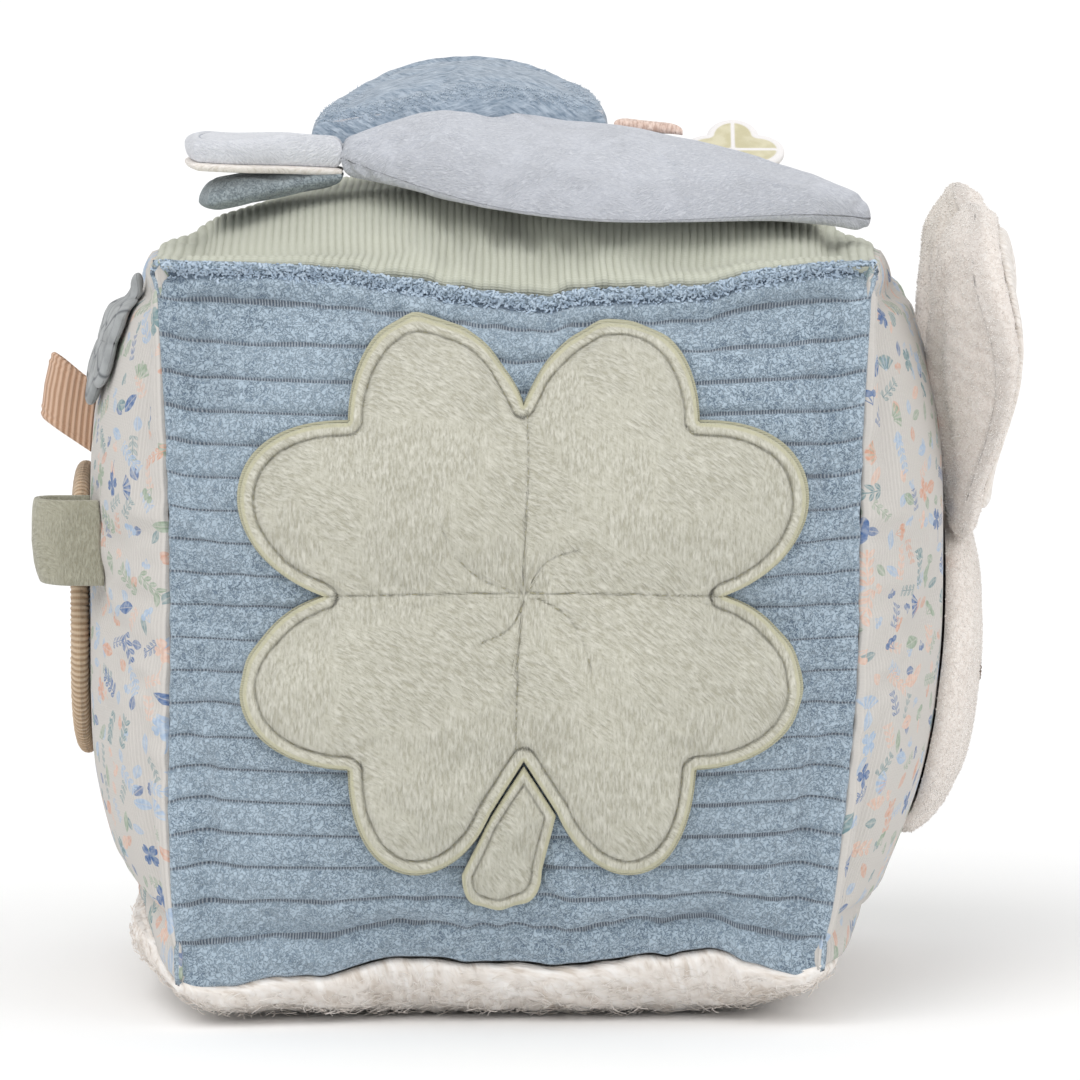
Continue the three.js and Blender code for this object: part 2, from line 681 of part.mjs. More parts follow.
function earLining(side) {
  const middle = new THREE.Vector2(0, EAR_LENGTH * EAR_MIDDLE_SHARE);
  const lining = pad(earOutline(), middle, FLAT_RING_SHARES, EAR_LINING, 0);
  return shaped(lining, (point) => {
    const x = point.x * EAR_LINING_SHARE;
    const along = THREE.MathUtils.lerp(middle.y, point.y, EAR_LINING_SHARE);
    return onHead(side, x, along, point.z + EAR_SHELL + SEAT_GAP);
  });
}

// The height of the surface that the bird lies along
function birdSeat(x, y) {
  const crown = TOP_CROWN * swellAt(y / BLOCK_HALF, CROWN_POWER);
  const raised = BIRD_NECK_LIFT * Math.min(1, Math.max(0, x / BIRD_LEFT)) ** 2;
  const dropped = BIRD_TIP_DROP * Math.max(0, x / BIRD_RIGHT) ** 3;
  return TOP_SEAM + crown + raised - dropped + BIRD_LIFT;
}

function birdOutline() {
  const path = new THREE.Path();
  const third = (BIRD_RIGHT - BIRD_LEFT) / 3;
  path.moveTo(BIRD_LEFT, BIRD_NECK_FRONT);
  path.bezierCurveTo(
    BIRD_LEFT + third, BIRD_FRONT_BELLY,
    BIRD_RIGHT - third, BIRD_FRONT_BELLY,
    BIRD_RIGHT - BIRD_TIP_HALF, BIRD_TIP_DEPTH - BIRD_TIP_HALF,
  );
  path.quadraticCurveTo(
    BIRD_RIGHT + BIRD_TIP_HALF, BIRD_TIP_DEPTH,
    BIRD_RIGHT - BIRD_TIP_HALF, BIRD_TIP_DEPTH + BIRD_TIP_HALF,
  );
  path.bezierCurveTo(
    BIRD_RIGHT - third, BIRD_BACK_BELLY,
    BIRD_LEFT + third, BIRD_BACK_BELLY,
    BIRD_LEFT, BIRD_NECK_BACK,
  );
  path.lineTo(BIRD_LEFT, BIRD_NECK_FRONT);
  return outlinePoints(path, BIRD_POINTS);
}

const BIRD_OUTLINE = birdOutline();
const BIRD_CENTRE = new THREE.Vector2(BIRD_MIDDLE, (BIRD_NECK_FRONT + BIRD_NECK_BACK) / 2);

function birdBody() {
  const body = pad(BIRD_OUTLINE, BIRD_CENTRE, PAD_RING_SHARES, BIRD_ABOVE, BIRD_BELOW);
  return shaped(body, (point) =>
    point.set(point.x, point.y, point.z + BIRD_BELOW + birdSeat(point.x, point.y)),
  );
}

// The height at which a wing is sewn along the bird's back, lower towards the bird's ends
function wingRoot(x) {
  const back = birdSeat(BIRD_MIDDLE, WING_ROOT_DEPTH) + BIRD_BELOW + BIRD_ABOVE * WING_SEAT_SHARE;
  return back + SEAT_GAP - WING_DROOP * (x / WING_LEFT) ** 2;
}

// A wing: a leaf sewn along the bird's back that arches up and away behind it
function wing(size, rings, lift) {
  const path = new THREE.Path();
  path.moveTo(0, 0);
  path.lineTo(size.length, 0);
  path.bezierCurveTo(
    size.length, size.reach, size.length / 2, size.reach * WING_CROWN_SHARE, size.length / 4, size.reach,
  );
  path.quadraticCurveTo(0, size.reach / 2, 0, 0);
  const outline = outlinePoints(path, size.points);
  const middle = new THREE.Vector2(size.length / 2, size.reach / 2);
  const flat = pad(outline, middle, rings, size.thick, 0);
  return shaped(flat, (point) => {
    const x = size.left + point.x;
    const arch = swellAt((2 * point.x) / size.length - 1, WING_ARCH_POWER);
    const away = Math.sin((Math.min(1, point.y / size.reach) * Math.PI) / 2);
    const height = wingRoot(x) + lift + away * (size.rise * arch - size.drop * (1 - arch));
    return point.set(x, WING_ROOT_DEPTH + point.y, height + point.z);
  });
}

const BLUE_WING = {
  left: WING_LEFT,
  length: WING_LENGTH,
  reach: WING_REACH,
  rise: WING_RISE,
  drop: WING_DROP,
  thick: WING_THICK,
  points: WING_POINTS,
};
const BLUE_WING_LINING = { ...BLUE_WING, thick: WING_LINING_THICK };
const CORAL_WING = {
  left: CORAL_LEFT,
  length: CORAL_LENGTH,
  reach: CORAL_REACH,
  rise: CORAL_RISE,
  drop: 0,
  thick: CORAL_THICK,
  points: CORAL_POINTS,
};

// A tail feather: a blunt leaf that widens from the bird's neck to its left
function tailFeather(size, base) {
  const path = new THREE.Path();
  path.moveTo(0, TAIL_ROOT_HALF);
  path.bezierCurveTo(
    -size.length / 2, TAIL_ROOT_HALF, -size.length / 2, size.halfWide, -size.length, size.halfWide,
  );
  path.quadraticCurveTo(-size.length - TAIL_ROOT_HALF, 0, -size.length, -size.halfWide);
  path.bezierCurveTo(
    -size.length / 2, -size.halfWide, -size.length / 2, -TAIL_ROOT_HALF, 0, -TAIL_ROOT_HALF,
  );
  path.lineTo(0, TAIL_ROOT_HALF);
  const outline = outlinePoints(path, TAIL_POINTS);
  const middle = new THREE.Vector2(-size.length / 2, 0);
  const feather = pad(outline, middle, PAD_RING_SHARES, size.thick / 2, size.thick / 2);
  const depth = (BIRD_NECK_FRONT + BIRD_NECK_BACK) / 2;
  return shaped(feather, (point) => {
    const raised = (-point.x / size.length) * size.rise;
    const height = base + size.thick / 2 + raised + point.z;
    return point.set(BIRD_LEFT - SEAT_GAP + point.x, depth + point.y, height);
  });
}

const NECK_SEAT = birdSeat(BIRD_LEFT, (BIRD_NECK_FRONT + BIRD_NECK_BACK) / 2);
const UPPER_TAIL_SEAT = NECK_SEAT + TAIL_UNDERSIDE_THICK + SEAT_GAP;
const LOWER_TAIL_SEAT = NECK_SEAT - LOWER_TAIL_THICK - SEAT_GAP + LOWER_TAIL_NEST;
const UPPER_TAIL = {
  length: TAIL_LENGTH,
  halfWide: TAIL_HALF_WIDE,
  thick: TAIL_THICK,
  rise: TAIL_RISE,
};
const TAIL_UNDERSIDE = { ...UPPER_TAIL, thick: TAIL_UNDERSIDE_THICK };
const LOWER_TAIL = {
  length: LOWER_TAIL_LENGTH,
  halfWide: LOWER_TAIL_HALF_WIDE,
  thick: LOWER_TAIL_THICK,
  rise: -LOWER_TAIL_DROP,
};

// The small clover patch, leaning back from its sewn edge on the top panel
function cloverPatch() {
  const outline = scalloped(PATCH_RADIUS, PATCH_SCALLOP, PATCH_LEAVES, PATCH_POINTS);
  const patch = pad(outline, new THREE.Vector2(), FLAT_RING_SHARES, PATCH_THICK, 0);
  const root = onFace(FACES.top, PATCH_ACROSS, PATCH_DEPTH, SEAT_GAP);
  patch.translate(0, PATCH_RADIUS + PATCH_SCALLOP, 0);
  patch.rotateX(PATCH_LEAN);
  return patch.translate(root.x, root.y, root.z);
}

// Every piece as a named mesh in one group
const block = new THREE.Group();

function add(name, geometry, surface) {
  const mesh = new THREE.Mesh(geometry, surface);
  mesh.name = name;
  block.add(mesh);
}

add("front_panel", panel(FACES.front, FRONT_COLUMNS, WALE_SHOULDER_SHARES), MATERIALS.bluePlush);
add("back_panel", panel(turned(FACES.back), PANEL_DIVISIONS), MATERIALS.sageRib);
add("left_panel", panel(FACES.left, PANEL_DIVISIONS), MATERIALS.printedCotton);
add("right_panel", panel(FACES.right, PANEL_DIVISIONS), MATERIALS.printedCotton);
add("top_panel", panel(turned(FACES.top), PANEL_DIVISIONS), MATERIALS.sageRib);
add("bottom_panel", panel(turned(FACES.bottom), PANEL_DIVISIONS), MATERIALS.sherpa);
add("stuffing_upper", stuffingHalf(1), MATERIALS.stuffing);
add("stuffing_lower", stuffingHalf(-1), MATERIALS.stuffing);
add("rattle_case_upper", rattleHalf(1), MATERIALS.casePlastic);
add("rattle_case_lower", rattleHalf(-1), MATERIALS.casePlastic);
add("rattle_bead", rattleBead(), MATERIALS.beadPlastic);
add("clover_backing", cloverBacking(), MATERIALS.sageFelt);
add("clover_face", cloverFace(), MATERIALS.sageVelour);
add("clover_stem", cloverStem(), MATERIALS.sageVelour);
add("mirror_ring", mirrorRing(), MATERIALS.tanRib);
add("mirror_film", mirrorFilm(), MATERIALS.mirrorFilm);
add("ribbed_loop", ribbedLoop(), MATERIALS.terracottaRib);
add("velour_loop", velourLoop(), MATERIALS.sageLoop);
add("flower_patch", flowerPatch(), MATERIALS.greyPatch);
add("rabbit_head", rabbitHead(), MATERIALS.sherpa);
add("near_ear", ear(-1), MATERIALS.sherpa);
add("near_ear_lining", earLining(-1), MATERIALS.creamVelour);
add("far_ear", ear(1), MATERIALS.sherpa);
add("far_ear_lining", earLining(1), MATERIALS.creamVelour);
add("bird_body", birdBody(), MATERIALS.lightVelour);
add("bird_wing", wing(BLUE_WING, SEATED_RING_SHARES, WING_LINING_THICK + APPLIQUE_GAP), MATERIALS.bluePlush);
add("bird_wing_lining", wing(BLUE_WING_LINING, SHEET_RING_SHARES, 0), MATERIALS.lightVelour);
add("bird_coral_wing", wing(CORAL_WING, SEATED_RING_SHARES, CORAL_LIFT), MATERIALS.coralVelour);
add("bird_tail_top", tailFeather(UPPER_TAIL, UPPER_TAIL_SEAT), MATERIALS.lightVelour);
add("bird_tail_underside", tailFeather(TAIL_UNDERSIDE, NECK_SEAT), MATERIALS.creamVelour);
add("bird_tail_lower", tailFeather(LOWER_TAIL, LOWER_TAIL_SEAT), MATERIALS.darkPlush);
add("clover_patch", cloverPatch(), MATERIALS.olivePatch);

export default block;
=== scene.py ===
import math
from functools import partialmethod

import bmesh
import bpy
import numpy as np
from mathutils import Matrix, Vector


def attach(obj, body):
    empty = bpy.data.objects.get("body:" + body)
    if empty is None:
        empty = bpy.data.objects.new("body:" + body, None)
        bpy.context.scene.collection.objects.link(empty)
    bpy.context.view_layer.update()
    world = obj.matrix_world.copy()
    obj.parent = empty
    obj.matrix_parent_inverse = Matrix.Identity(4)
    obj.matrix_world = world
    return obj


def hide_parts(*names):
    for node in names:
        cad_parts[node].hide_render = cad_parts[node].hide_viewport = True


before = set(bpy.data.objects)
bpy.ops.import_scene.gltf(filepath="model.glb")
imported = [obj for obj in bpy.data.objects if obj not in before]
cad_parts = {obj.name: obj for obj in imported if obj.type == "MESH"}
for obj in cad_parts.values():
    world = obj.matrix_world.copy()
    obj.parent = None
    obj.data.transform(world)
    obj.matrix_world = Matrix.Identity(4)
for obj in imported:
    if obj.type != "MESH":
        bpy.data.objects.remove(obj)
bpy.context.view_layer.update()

# Sizes of the stuffed cube, in millimetres
MM = 0.001
HALF = 75.0
FRONT_CROWN = 14.0
SIDE_CROWN = 18.0
TOP_CROWN = 14.0
BOTTOM_CROWN = 14.0
RESTING_DEPTH = 0.5
MIDDLE = HALF + BOTTOM_CROWN - RESTING_DEPTH
TOP_SEAM = MIDDLE + HALF
SIDE_REACH = HALF + SIDE_CROWN
CROWNS = (
    ((SIDE_CROWN, 4), (SIDE_CROWN, 4)),
    ((FRONT_CROWN, 3), (FRONT_CROWN, 3)),
    ((BOTTOM_CROWN, 6), (TOP_CROWN, 4)),
)
EDGE_DRAWS = (5.5, -4.0, 2.5)
CORNER_POWER = 4
RESTING_DRAW_SHARE = 0.2
OTHER_AXES = ((1, 2), (0, 2), (0, 1))
CAGE = 40
FOOT_SEAM_PLACES = (-1, -0.95, -0.79, -0.72, -0.62, -0.54, -0.42, -0.3, -0.18, 0.1, 0.36, 0.62, 0.75, 0.9, 1)
FOOT_SEAM_RISES = (-3.0, -3.8, -1.9, -0.4, -1.9, -1.3, 0.8, 1.8, 0.6, 0.0, 2.0, 3.5, 1.5, -2.0, -1.5)
SOLE_PLACES = (-1, -0.95, -0.9, -0.85, -0.75)
TOP_SEAM_PLACES = (-1, -0.65, -0.48, -0.33, -0.16, 0.0, 0.1, 0.24, 0.39, 0.53, 0.7, 0.82, 1)
TOP_SEAM_RISES = (2.4, 2.4, 2.5, 1.2, -0.6, -2.2, -2.6, -2.1, -1.6, -0.9, 1.3, 2.2, 2.2)
SOLE_SPREADS = (1, 1, 1, 0.6, 0)
SOLE_RISES = (6, 5, 1.5, 0, 0)
FRONT_WIDENED = (-2.3, 1.6)
LEFT_FOOT_RISE = 9.0
LEFT_FOOT_OUT = 3.0
SOLE_OUT = 10.0
RIGHT_FOOT_DRAWN_IN = 6.0
BACK_CORNERS_LOWERED = (10.5, 9.0)
SPARE_CLOTH = 2.8
COVER_PRESSURE = 4.0
COVER_SWELL = 3.2
PAD_PRESSURE = 3.0
PANEL_THICK = 3.0
PANEL_ROLL = 1.5
FLOOR_GAP = 0.05
FILLING_INSET = 2.6
HEM_DEEP = 2.6
FINE_TO_COARSE = 4
SEAM_GAP = 0.3
SEAT_GAP = 0.3
APPLIQUE_GAP = 0.6
X, Y, Z = np.eye(3)
FACES = {
    "front": (X, Z, -Y),
    "back": (-X, Z, Y),
    "right": (Y, Z, X),
    "left": (-Y, Z, -X),
    "top": (X, Y, Z),
    "bottom": (X, -Y, -Z),
}


def colour(red, green, blue):
    """A colour written as the eye sees it, 0 to 255, on the renderer's linear scale."""
    shares = [value / 255 for value in (red, green, blue)]
    linear = [s / 12.92 if s <= 0.04045 else ((s + 0.055) / 1.055) ** 2.4 for s in shares]
    return (*linear, 1.0)


# Node trees written like sums

class Wire:
    """An output of a node that adds, multiplies and compares like a number."""

    def __init__(self, tree, socket):
        self.tree = tree
        self.socket = socket

    def made(self, operation, *others):
        node = self.tree.nodes.new("ShaderNodeMath")
        node.operation = operation
        for socket, value in zip(node.inputs, (self, *others)):
            feed(self.tree, socket, value)
        return Wire(self.tree, node.outputs[0])

    def __rsub__(self, other):
        return self * -1.0 + other

    __add__ = __radd__ = partialmethod(made, "ADD")
    __sub__ = partialmethod(made, "SUBTRACT")
    __mul__ = __rmul__ = partialmethod(made, "MULTIPLY")
    __truediv__ = partialmethod(made, "DIVIDE")
    __pow__ = partialmethod(made, "POWER")
    __abs__ = partialmethod(made, "ABSOLUTE")
    sin = partialmethod(made, "SINE")
    cos = partialmethod(made, "COSINE")
    root = partialmethod(made, "SQRT")
    least = partialmethod(made, "MINIMUM")
    most = partialmethod(made, "MAXIMUM")
    part = partialmethod(made, "FRACT")
    angle = partialmethod(made, "ARCTAN2")
    above = partialmethod(made, "GREATER_THAN")
    below = partialmethod(made, "LESS_THAN")

    def waves(self, pitch, low=-1.0, high=1.0):
        """Even waves a pitch apart, from 0 up to 1."""
        return (self * (2 * math.pi / pitch)).sin().ramp(low, high)

    def ramp(self, low, high, start=0.0, end=1.0):
        """start at low, end at high, smooth between them."""
        node = self.tree.nodes.new("ShaderNodeMapRange")
        node.interpolation_type = "SMOOTHSTEP"
        for socket, value in zip(node.inputs, (self, low, high, start, end)):
            feed(self.tree, socket, value)
        return Wire(self.tree, node.outputs[0])


def feed(tree, socket, value):
    if isinstance(value, Wire):
        tree.links.new(value.socket, socket)
    else:
        socket.default_value = value


def step(tree, kind, inputs=None, output=0, **settings):
    """Adds a node with its settings and inputs and gives one of its outputs."""
    node = tree.nodes.new(kind)
    for name, value in settings.items():
        setattr(node, name, value)
    for key, value in (inputs or {}).items():
        feed(tree, node.inputs[key], value)
    return Wire(tree, node.outputs[output])


def also(wire, output):
    """Another output of the node that made a wire."""
    return Wire(wire.tree, wire.socket.node.outputs[output])


def split(vector):
    x = step(vector.tree, "ShaderNodeSeparateXYZ", {0: vector})
    return x, also(x, 1), also(x, 2)


def joined(tree, x, y=0.0, z=0.0):
    return step(tree, "ShaderNodeCombineXYZ", {0: x, 1: y, 2: z})


def scaled(vector, factor):
    return step(vector.tree, "ShaderNodeVectorMath", {0: vector, 3: factor}, operation="SCALE")


def noise(place, scale, detail=2.0, rough=0.5, warp=0.0):
    inputs = {"Vector": place, "Scale": scale, "Detail": detail, "Roughness": rough, "Distortion": warp}
    return step(place.tree, "ShaderNodeTexNoise", inputs)


def toned(base, factor):
    """A plain colour made darker or lighter by a factor."""
    return step(factor.tree, "ShaderNodeVectorMath", {0: colour(*base)[:3], 3: factor}, operation="SCALE")


def mixed(share, first, second):
    """Two colours mixed: the first where share is 0 and the second where it is 1."""
    node = share.tree.nodes.new("ShaderNodeMix")
    node.data_type = "RGBA"
    for socket, value in zip((node.inputs[0], node.inputs[6], node.inputs[7]), (share, first, second)):
        feed(share.tree, socket, colour(*value) if isinstance(value, tuple) else value)
    return Wire(share.tree, node.outputs[2])


# Finishes; the pitches are in millimetres

TUFT_GRAIN = 1.2
GROOVE_TICK = 0.6
WEFT = 0.5
PRINT_RIB = 0.9
PRINT_KNIT = 0.6


class Finish:
    """One fabric or plastic finish: its colour, its relief and plain shader settings."""

    def __init__(self, name, rough=0.9, sheen=0.0, specular=0.25, metal=0.0):
        self.material = bpy.data.materials.new(name)
        self.material.use_nodes = True
        self.tree = self.material.node_tree
        self.shader = self.tree.nodes["Principled BSDF"]
        self.shader.inputs["Roughness"].default_value = rough
        self.shader.inputs["Metallic"].default_value = metal
        self.shader.inputs["Specular IOR Level"].default_value = specular
        self.shader.inputs["Sheen Weight"].default_value = sheen
        coords = step(self.tree, "ShaderNodeTexCoord", output="Object")
        self.place = scaled(coords, 1 / MM)
        self.flat = scaled(also(coords, "UV"), 1 / MM)

    def mark(self, name):
        """A number kept on the piece's own points."""
        return step(self.tree, "ShaderNodeAttribute", output="Fac", attribute_name=name)

    def paint(self, value):
        feed(self.tree, self.shader.inputs["Base Color"], colour(*value) if isinstance(value, tuple) else value)

    def with_relief(self, value, height, depth):
        """The painted material, with bump from a height of 0 to 1 that stands for depth millimetres."""
        self.paint(value)
        bump = step(self.tree, "ShaderNodeBump", {"Height": height, "Distance": depth * MM, "Strength": 1.0})
        feed(self.tree, self.shader.inputs["Normal"], bump)
        return self.material

    def tones(self, height, dark, middle, light):
        """Three tones of a fabric, from its gaps to its tips: painted shade in the gaps and painted light on the
        tips.
        """
        low = mixed(height.ramp(0.0, 0.5), dark, middle)
        return mixed(height.ramp(0.45, 1.0), low, light)


def plush(name, dark, middle, light, waled=False):
    """A looped pile of short worm-like tufts with painted shade in the gaps between them."""
    f = Finish(name, rough=0.95, sheen=0.2)
    worm = abs(noise(f.place, TUFT_GRAIN, 2.0, 0.5, 0.9) - 0.5) * 2.0
    clump = noise(f.place, TUFT_GRAIN * 0.35).ramp(0.3, 0.7)
    height = worm.ramp(0.0, 0.17) * 0.6 + clump * 0.2 + noise(f.place, TUFT_GRAIN * 3.0, 2.0, 0.6) * 0.2
    rough = noise(f.place, 0.035).ramp(0.38, 0.6, 0.45, 1.0)
    # Tones by height: painted shade in the gaps between tufts, painted light on their tips.
    tone = mixed(rough, scaled(mixed(height.ramp(0.2, 0.9), middle, light), 0.96),
                 f.tones(height, dark, middle, light))
    shade = noise(f.place, 0.03).ramp(0.35, 0.65, 0.96, 1.04)
    if waled:
        pile = f.mark("wale")
        tick = split(f.flat)[0].waves(GROOVE_TICK, -0.3, 0.7)
        tone = mixed(pile.ramp(0.05, 0.32), mixed(tick, (98, 110, 124), (168, 176, 184)), tone)
        # Painted shade: dark blue along the sunk hem stitch line, under the overhanging pile.
        tone = mixed(f.mark("sewn"), tone, (74, 90, 110))
        # Painted shade: darker down in the grooves between the wales.
        shade = shade * pile.ramp(0.0, 0.8, 0.9, 1.0)
    return f.with_relief(scaled(tone, shade), height, 0.2)


def velour(name, dark, middle, light, patches=0.6, turn=0.0, stroke=1.0, edged=None):
    """A short brushed nap: strokes in two directions that give way to each other, and darker brush marks."""
    f = Finish(name, rough=0.85, sheen=0.3)
    x, y, z = split(f.place)
    upright = z + y * 0.6
    strokes = []
    for lean in (turn, turn + 0.95):
        cos, sin = math.cos(lean), math.sin(lean)
        streak = joined(f.tree, x * cos + upright * sin, (upright * cos - x * sin) * 0.26, y * 0.2)
        strokes.append(noise(streak, 1.9 / stroke, 3.0, 0.62, 0.25))
    given = noise(f.place, 0.045).ramp(0.44, 0.56)
    height = (strokes[0] * (1.0 - given) + strokes[1] * given).ramp(0.28, 0.72)
    # Tones by height: painted shade in the low parts of the strokes, painted light on the high parts.
    tone = f.tones(height, dark, middle, light)
    marks = noise(f.place, 0.06, 3.0, 0.6, 0.6).ramp(0.56, 0.74) * noise(f.place, 0.5).ramp(0.3, 0.65)
    tone = mixed(marks * patches, tone, scaled(tone, 0.86))
    tone = scaled(tone, noise(f.place, 0.03).ramp(0.3, 0.7, 0.975, 1.025))
    # Painted shade where the crease mark is set: in sewn creases and seams, and on the bird belly's side that
    # faces down.
    tone = mixed(f.mark("crease").ramp(0.25, 0.95), tone, scaled(tone, 0.7))
    if edged:
        # A painted highlight: 7% lighter on the rolled rim outside the stitches; the cut edge itself keeps the
        # edge colour.
        inner = mixed(f.mark("edge").ramp(2.0, 3.0), scaled(tone, 1.07), tone)
        tone = mixed(f.mark("edge").ramp(0.5, 1.1), edged, inner)
    return f.with_relief(tone, height, 0.22)


def ribbed(name, dark, middle, light, pitch=0.0, waled=False, along=1):
    """A knitted or woven rib; the pitch is that of ribs too fine to be modelled."""
    f = Finish(name, rough=0.9, sheen=0.15)
    flat = split(f.flat)
    weave = noise(f.place, 1.6, 3.0, 0.6)
    cross = flat[along].waves(WEFT)
    height = weave * 0.5 + cross * 0.3
    if pitch:
        rib = flat[1 - along].waves(pitch, -0.9, 0.9)
        height = height * 0.4 + rib * 0.7
    if waled:
        height = height * 0.6 + f.mark("wale") * 0.4
    # Tones by height: painted shade in the valleys of the rib and weave, painted light on their crests.
    tone = f.tones(height, dark, middle, light)
    return f.with_relief(scaled(tone, noise(f.place, 0.04).ramp(0.3, 0.7, 0.96, 1.03)), height, 0.25)


def printed_satin(name, border, petal, tip):
    """Woven satin with petals washed in one tone inside a plain border."""
    f = Finish(name, rough=0.6, sheen=0.1, specular=0.35)
    wash = noise(f.place, 0.25).ramp(0.35, 0.65)
    weave = noise(f.place, 3.0)
    tone = mixed(f.mark("petal"), border, mixed(wash, petal, tip))
    return f.with_relief(scaled(tone, weave.ramp(0.2, 0.8, 0.97, 1.02)), weave, 0.06)


def fleece(name, dark, middle, light, grain, depth=0.12):
    """A curly or brushed fleece: clumps with warm shadows between them."""
    f = Finish(name, rough=0.95, sheen=0.3)
    clump = noise(f.place, grain, 3.0, 0.6, 1.2)
    curl = abs(noise(f.place, grain * 2.2, 2.0, 0.6, 1.5) - 0.5) * 2.0
    height = clump.ramp(0.3, 0.7) * 0.6 + curl.ramp(0.0, 0.35) * 0.4
    # Tones by height: painted shade between the clumps, painted light on their tips.
    tone = f.tones(height, dark, middle, light)
    # Painted shade: 22% darker where the crease mark is set, along the ears' rim seams.
    return f.with_relief(mixed(f.mark("crease"), tone, scaled(tone, 0.78)), height, depth)


def tufted(name, base, tip):
    """Loose fibres of two tones."""
    f = Finish(name, rough=1.0, sheen=0.2)
    return f.with_relief(mixed(noise(f.place, 0.5).ramp(0.3, 0.7), base, tip), noise(f.place, 3.0, 1.0), 0.02)


def thread(name, base):
    """Sewing thread with a fine twist."""
    f = Finish(name, rough=0.7, sheen=0.1)
    twist = noise(f.place, 4.0, 1.0)
    return f.with_relief(toned(base, twist.ramp(0.2, 0.8, 0.86, 1.1)), twist, 0.1)


def plastic(name, base, rough, metal=0.0):
    """Moulded plastic or film with a faint grain."""
    f = Finish(name, rough=rough, specular=0.5, metal=metal)
    grain = noise(f.place, 1.2, 3.0)
    return f.with_relief(toned(base, grain.ramp(0.2, 0.8, 0.97, 1.03)), grain, 0.05)


class Print:
    """Small painted motifs, one for each cell of a loose scatter; local places are in millimetres."""

    def __init__(self, flat, spacing, shift):
        self.tree = flat.tree
        moved = step(self.tree, "ShaderNodeVectorMath", {0: flat, 1: (shift, shift * 0.7, 0)}, operation="ADD")
        inputs = {"Vector": moved, "Scale": 1 / spacing, "Randomness": 0.62}
        found = step(self.tree, "ShaderNodeTexVoronoi", inputs, "Position", voronoi_dimensions="2D")
        away = step(self.tree, "ShaderNodeVectorMath", {0: moved, 1: found}, operation="SUBTRACT")
        self.kind, self.hue, spin = split(also(found, "Color"))
        turn = spin * (2 * math.pi)
        x, y = split(away)[:2]
        self.u = x * turn.cos() + y * turn.sin()
        self.v = y * turn.cos() - x * turn.sin()
        self.wash = noise(flat, 0.9).ramp(0.3, 0.7)

    def leaf(self, u, v, length, width, soft=0.16):
        """1 inside a leaf along u, 0 outside, with a paler midrib."""
        share = u / length
        inside = ((1.0 - share * share) * width - abs(v)).ramp(0.0, soft)
        rib = abs(v).ramp(0.03, 0.2, 0.45, 1.0)
        return inside * rib

    def sprig(self, length, gap, leaf_long, leaf_wide):
        """Paired leaves up a thin stem."""
        cos, sin = 0.64, 0.77
        side = abs(self.v)
        place = ((self.u / gap).part() - 0.5) * gap
        beside = side - leaf_long * 0.72
        u = place * cos - beside * sin
        v = place * sin + beside * cos
        leaves = self.leaf(v, u, leaf_long, leaf_wide, 0.1)
        stem = side.ramp(0.07, 0.2, 1.0, 0.0)
        within = abs(self.u).below(length)
        return leaves.most(stem) * within

    def berries(self, reach, size):
        """Three berries on fanned stalks."""
        shapes = []
        for turn in (-0.5, 0.0, 0.5):
            u = self.u * math.cos(turn) + self.v * math.sin(turn)
            v = self.v * math.cos(turn) - self.u * math.sin(turn)
            ahead = u - reach
            far = (ahead * ahead + v * v).root()
            stalk = abs(v).ramp(0.05, 0.16, 0.8, 0.0) * abs(u - reach * 0.5).below(reach * 0.5)
            shapes.append(far.ramp(size * 0.85, size, 1.0, 0.0).most(stalk))
        return shapes[0].most(shapes[1]).most(shapes[2])

    def fan(self, reach):
        """A shell-like fan of rays on a short stalk."""
        u = self.u + reach * 0.4
        far = (u * u + self.v * self.v).root()
        turn = self.v.angle(u)
        spread = abs(turn).ramp(0.85, 0.95, 1.0, 0.0)
        rays = (turn * 14.0).cos().ramp(-0.7, 0.2, 0.35, 1.0)
        edge = far.ramp(reach * 0.96, reach * 1.04, 1.0, 0.0) * far.above(reach * 0.2)
        return spread * rays * edge

    def clover(self, reach):
        """Four heart petals on a curved stalk."""
        far = (self.u * self.u + self.v * self.v).root()
        turn = self.v.angle(self.u)
        rim = abs((turn * 2.0).cos()) ** 0.4 * reach
        notch = abs((turn * 4.0).cos()).ramp(0.85, 1.0, 0.0, reach * 0.14)
        petals = (rim - notch - far).ramp(0.0, 0.16)
        stalk = abs(self.v - self.u * self.u * 0.08).ramp(0.06, 0.2, 1.0, 0.0)
        stalk = stalk * abs(self.u + reach * 0.85).below(reach * 0.85)
        return petals.most(stalk)

    def drawn(self, ground, shapes, inks, strength):
        """Paints each cell with one of the shapes in one of the inks."""
        count = len(shapes)
        mask = None
        for i, shape in enumerate(shapes):
            low, high = i / count, (i + 1) / count
            mine = self.kind.above(low) * self.kind.below(high)
            mask = shape * mine if mask is None else mask + shape * mine
        ink = None
        for i, tint in enumerate(inks):
            ink = tint if ink is None else mixed(self.hue.above(i / len(inks)), ink, tint)
        wash = mixed(self.wash * 0.3, ink, (232, 232, 226))
        return mixed(mask.least(1.0) * strength, ground, wash)


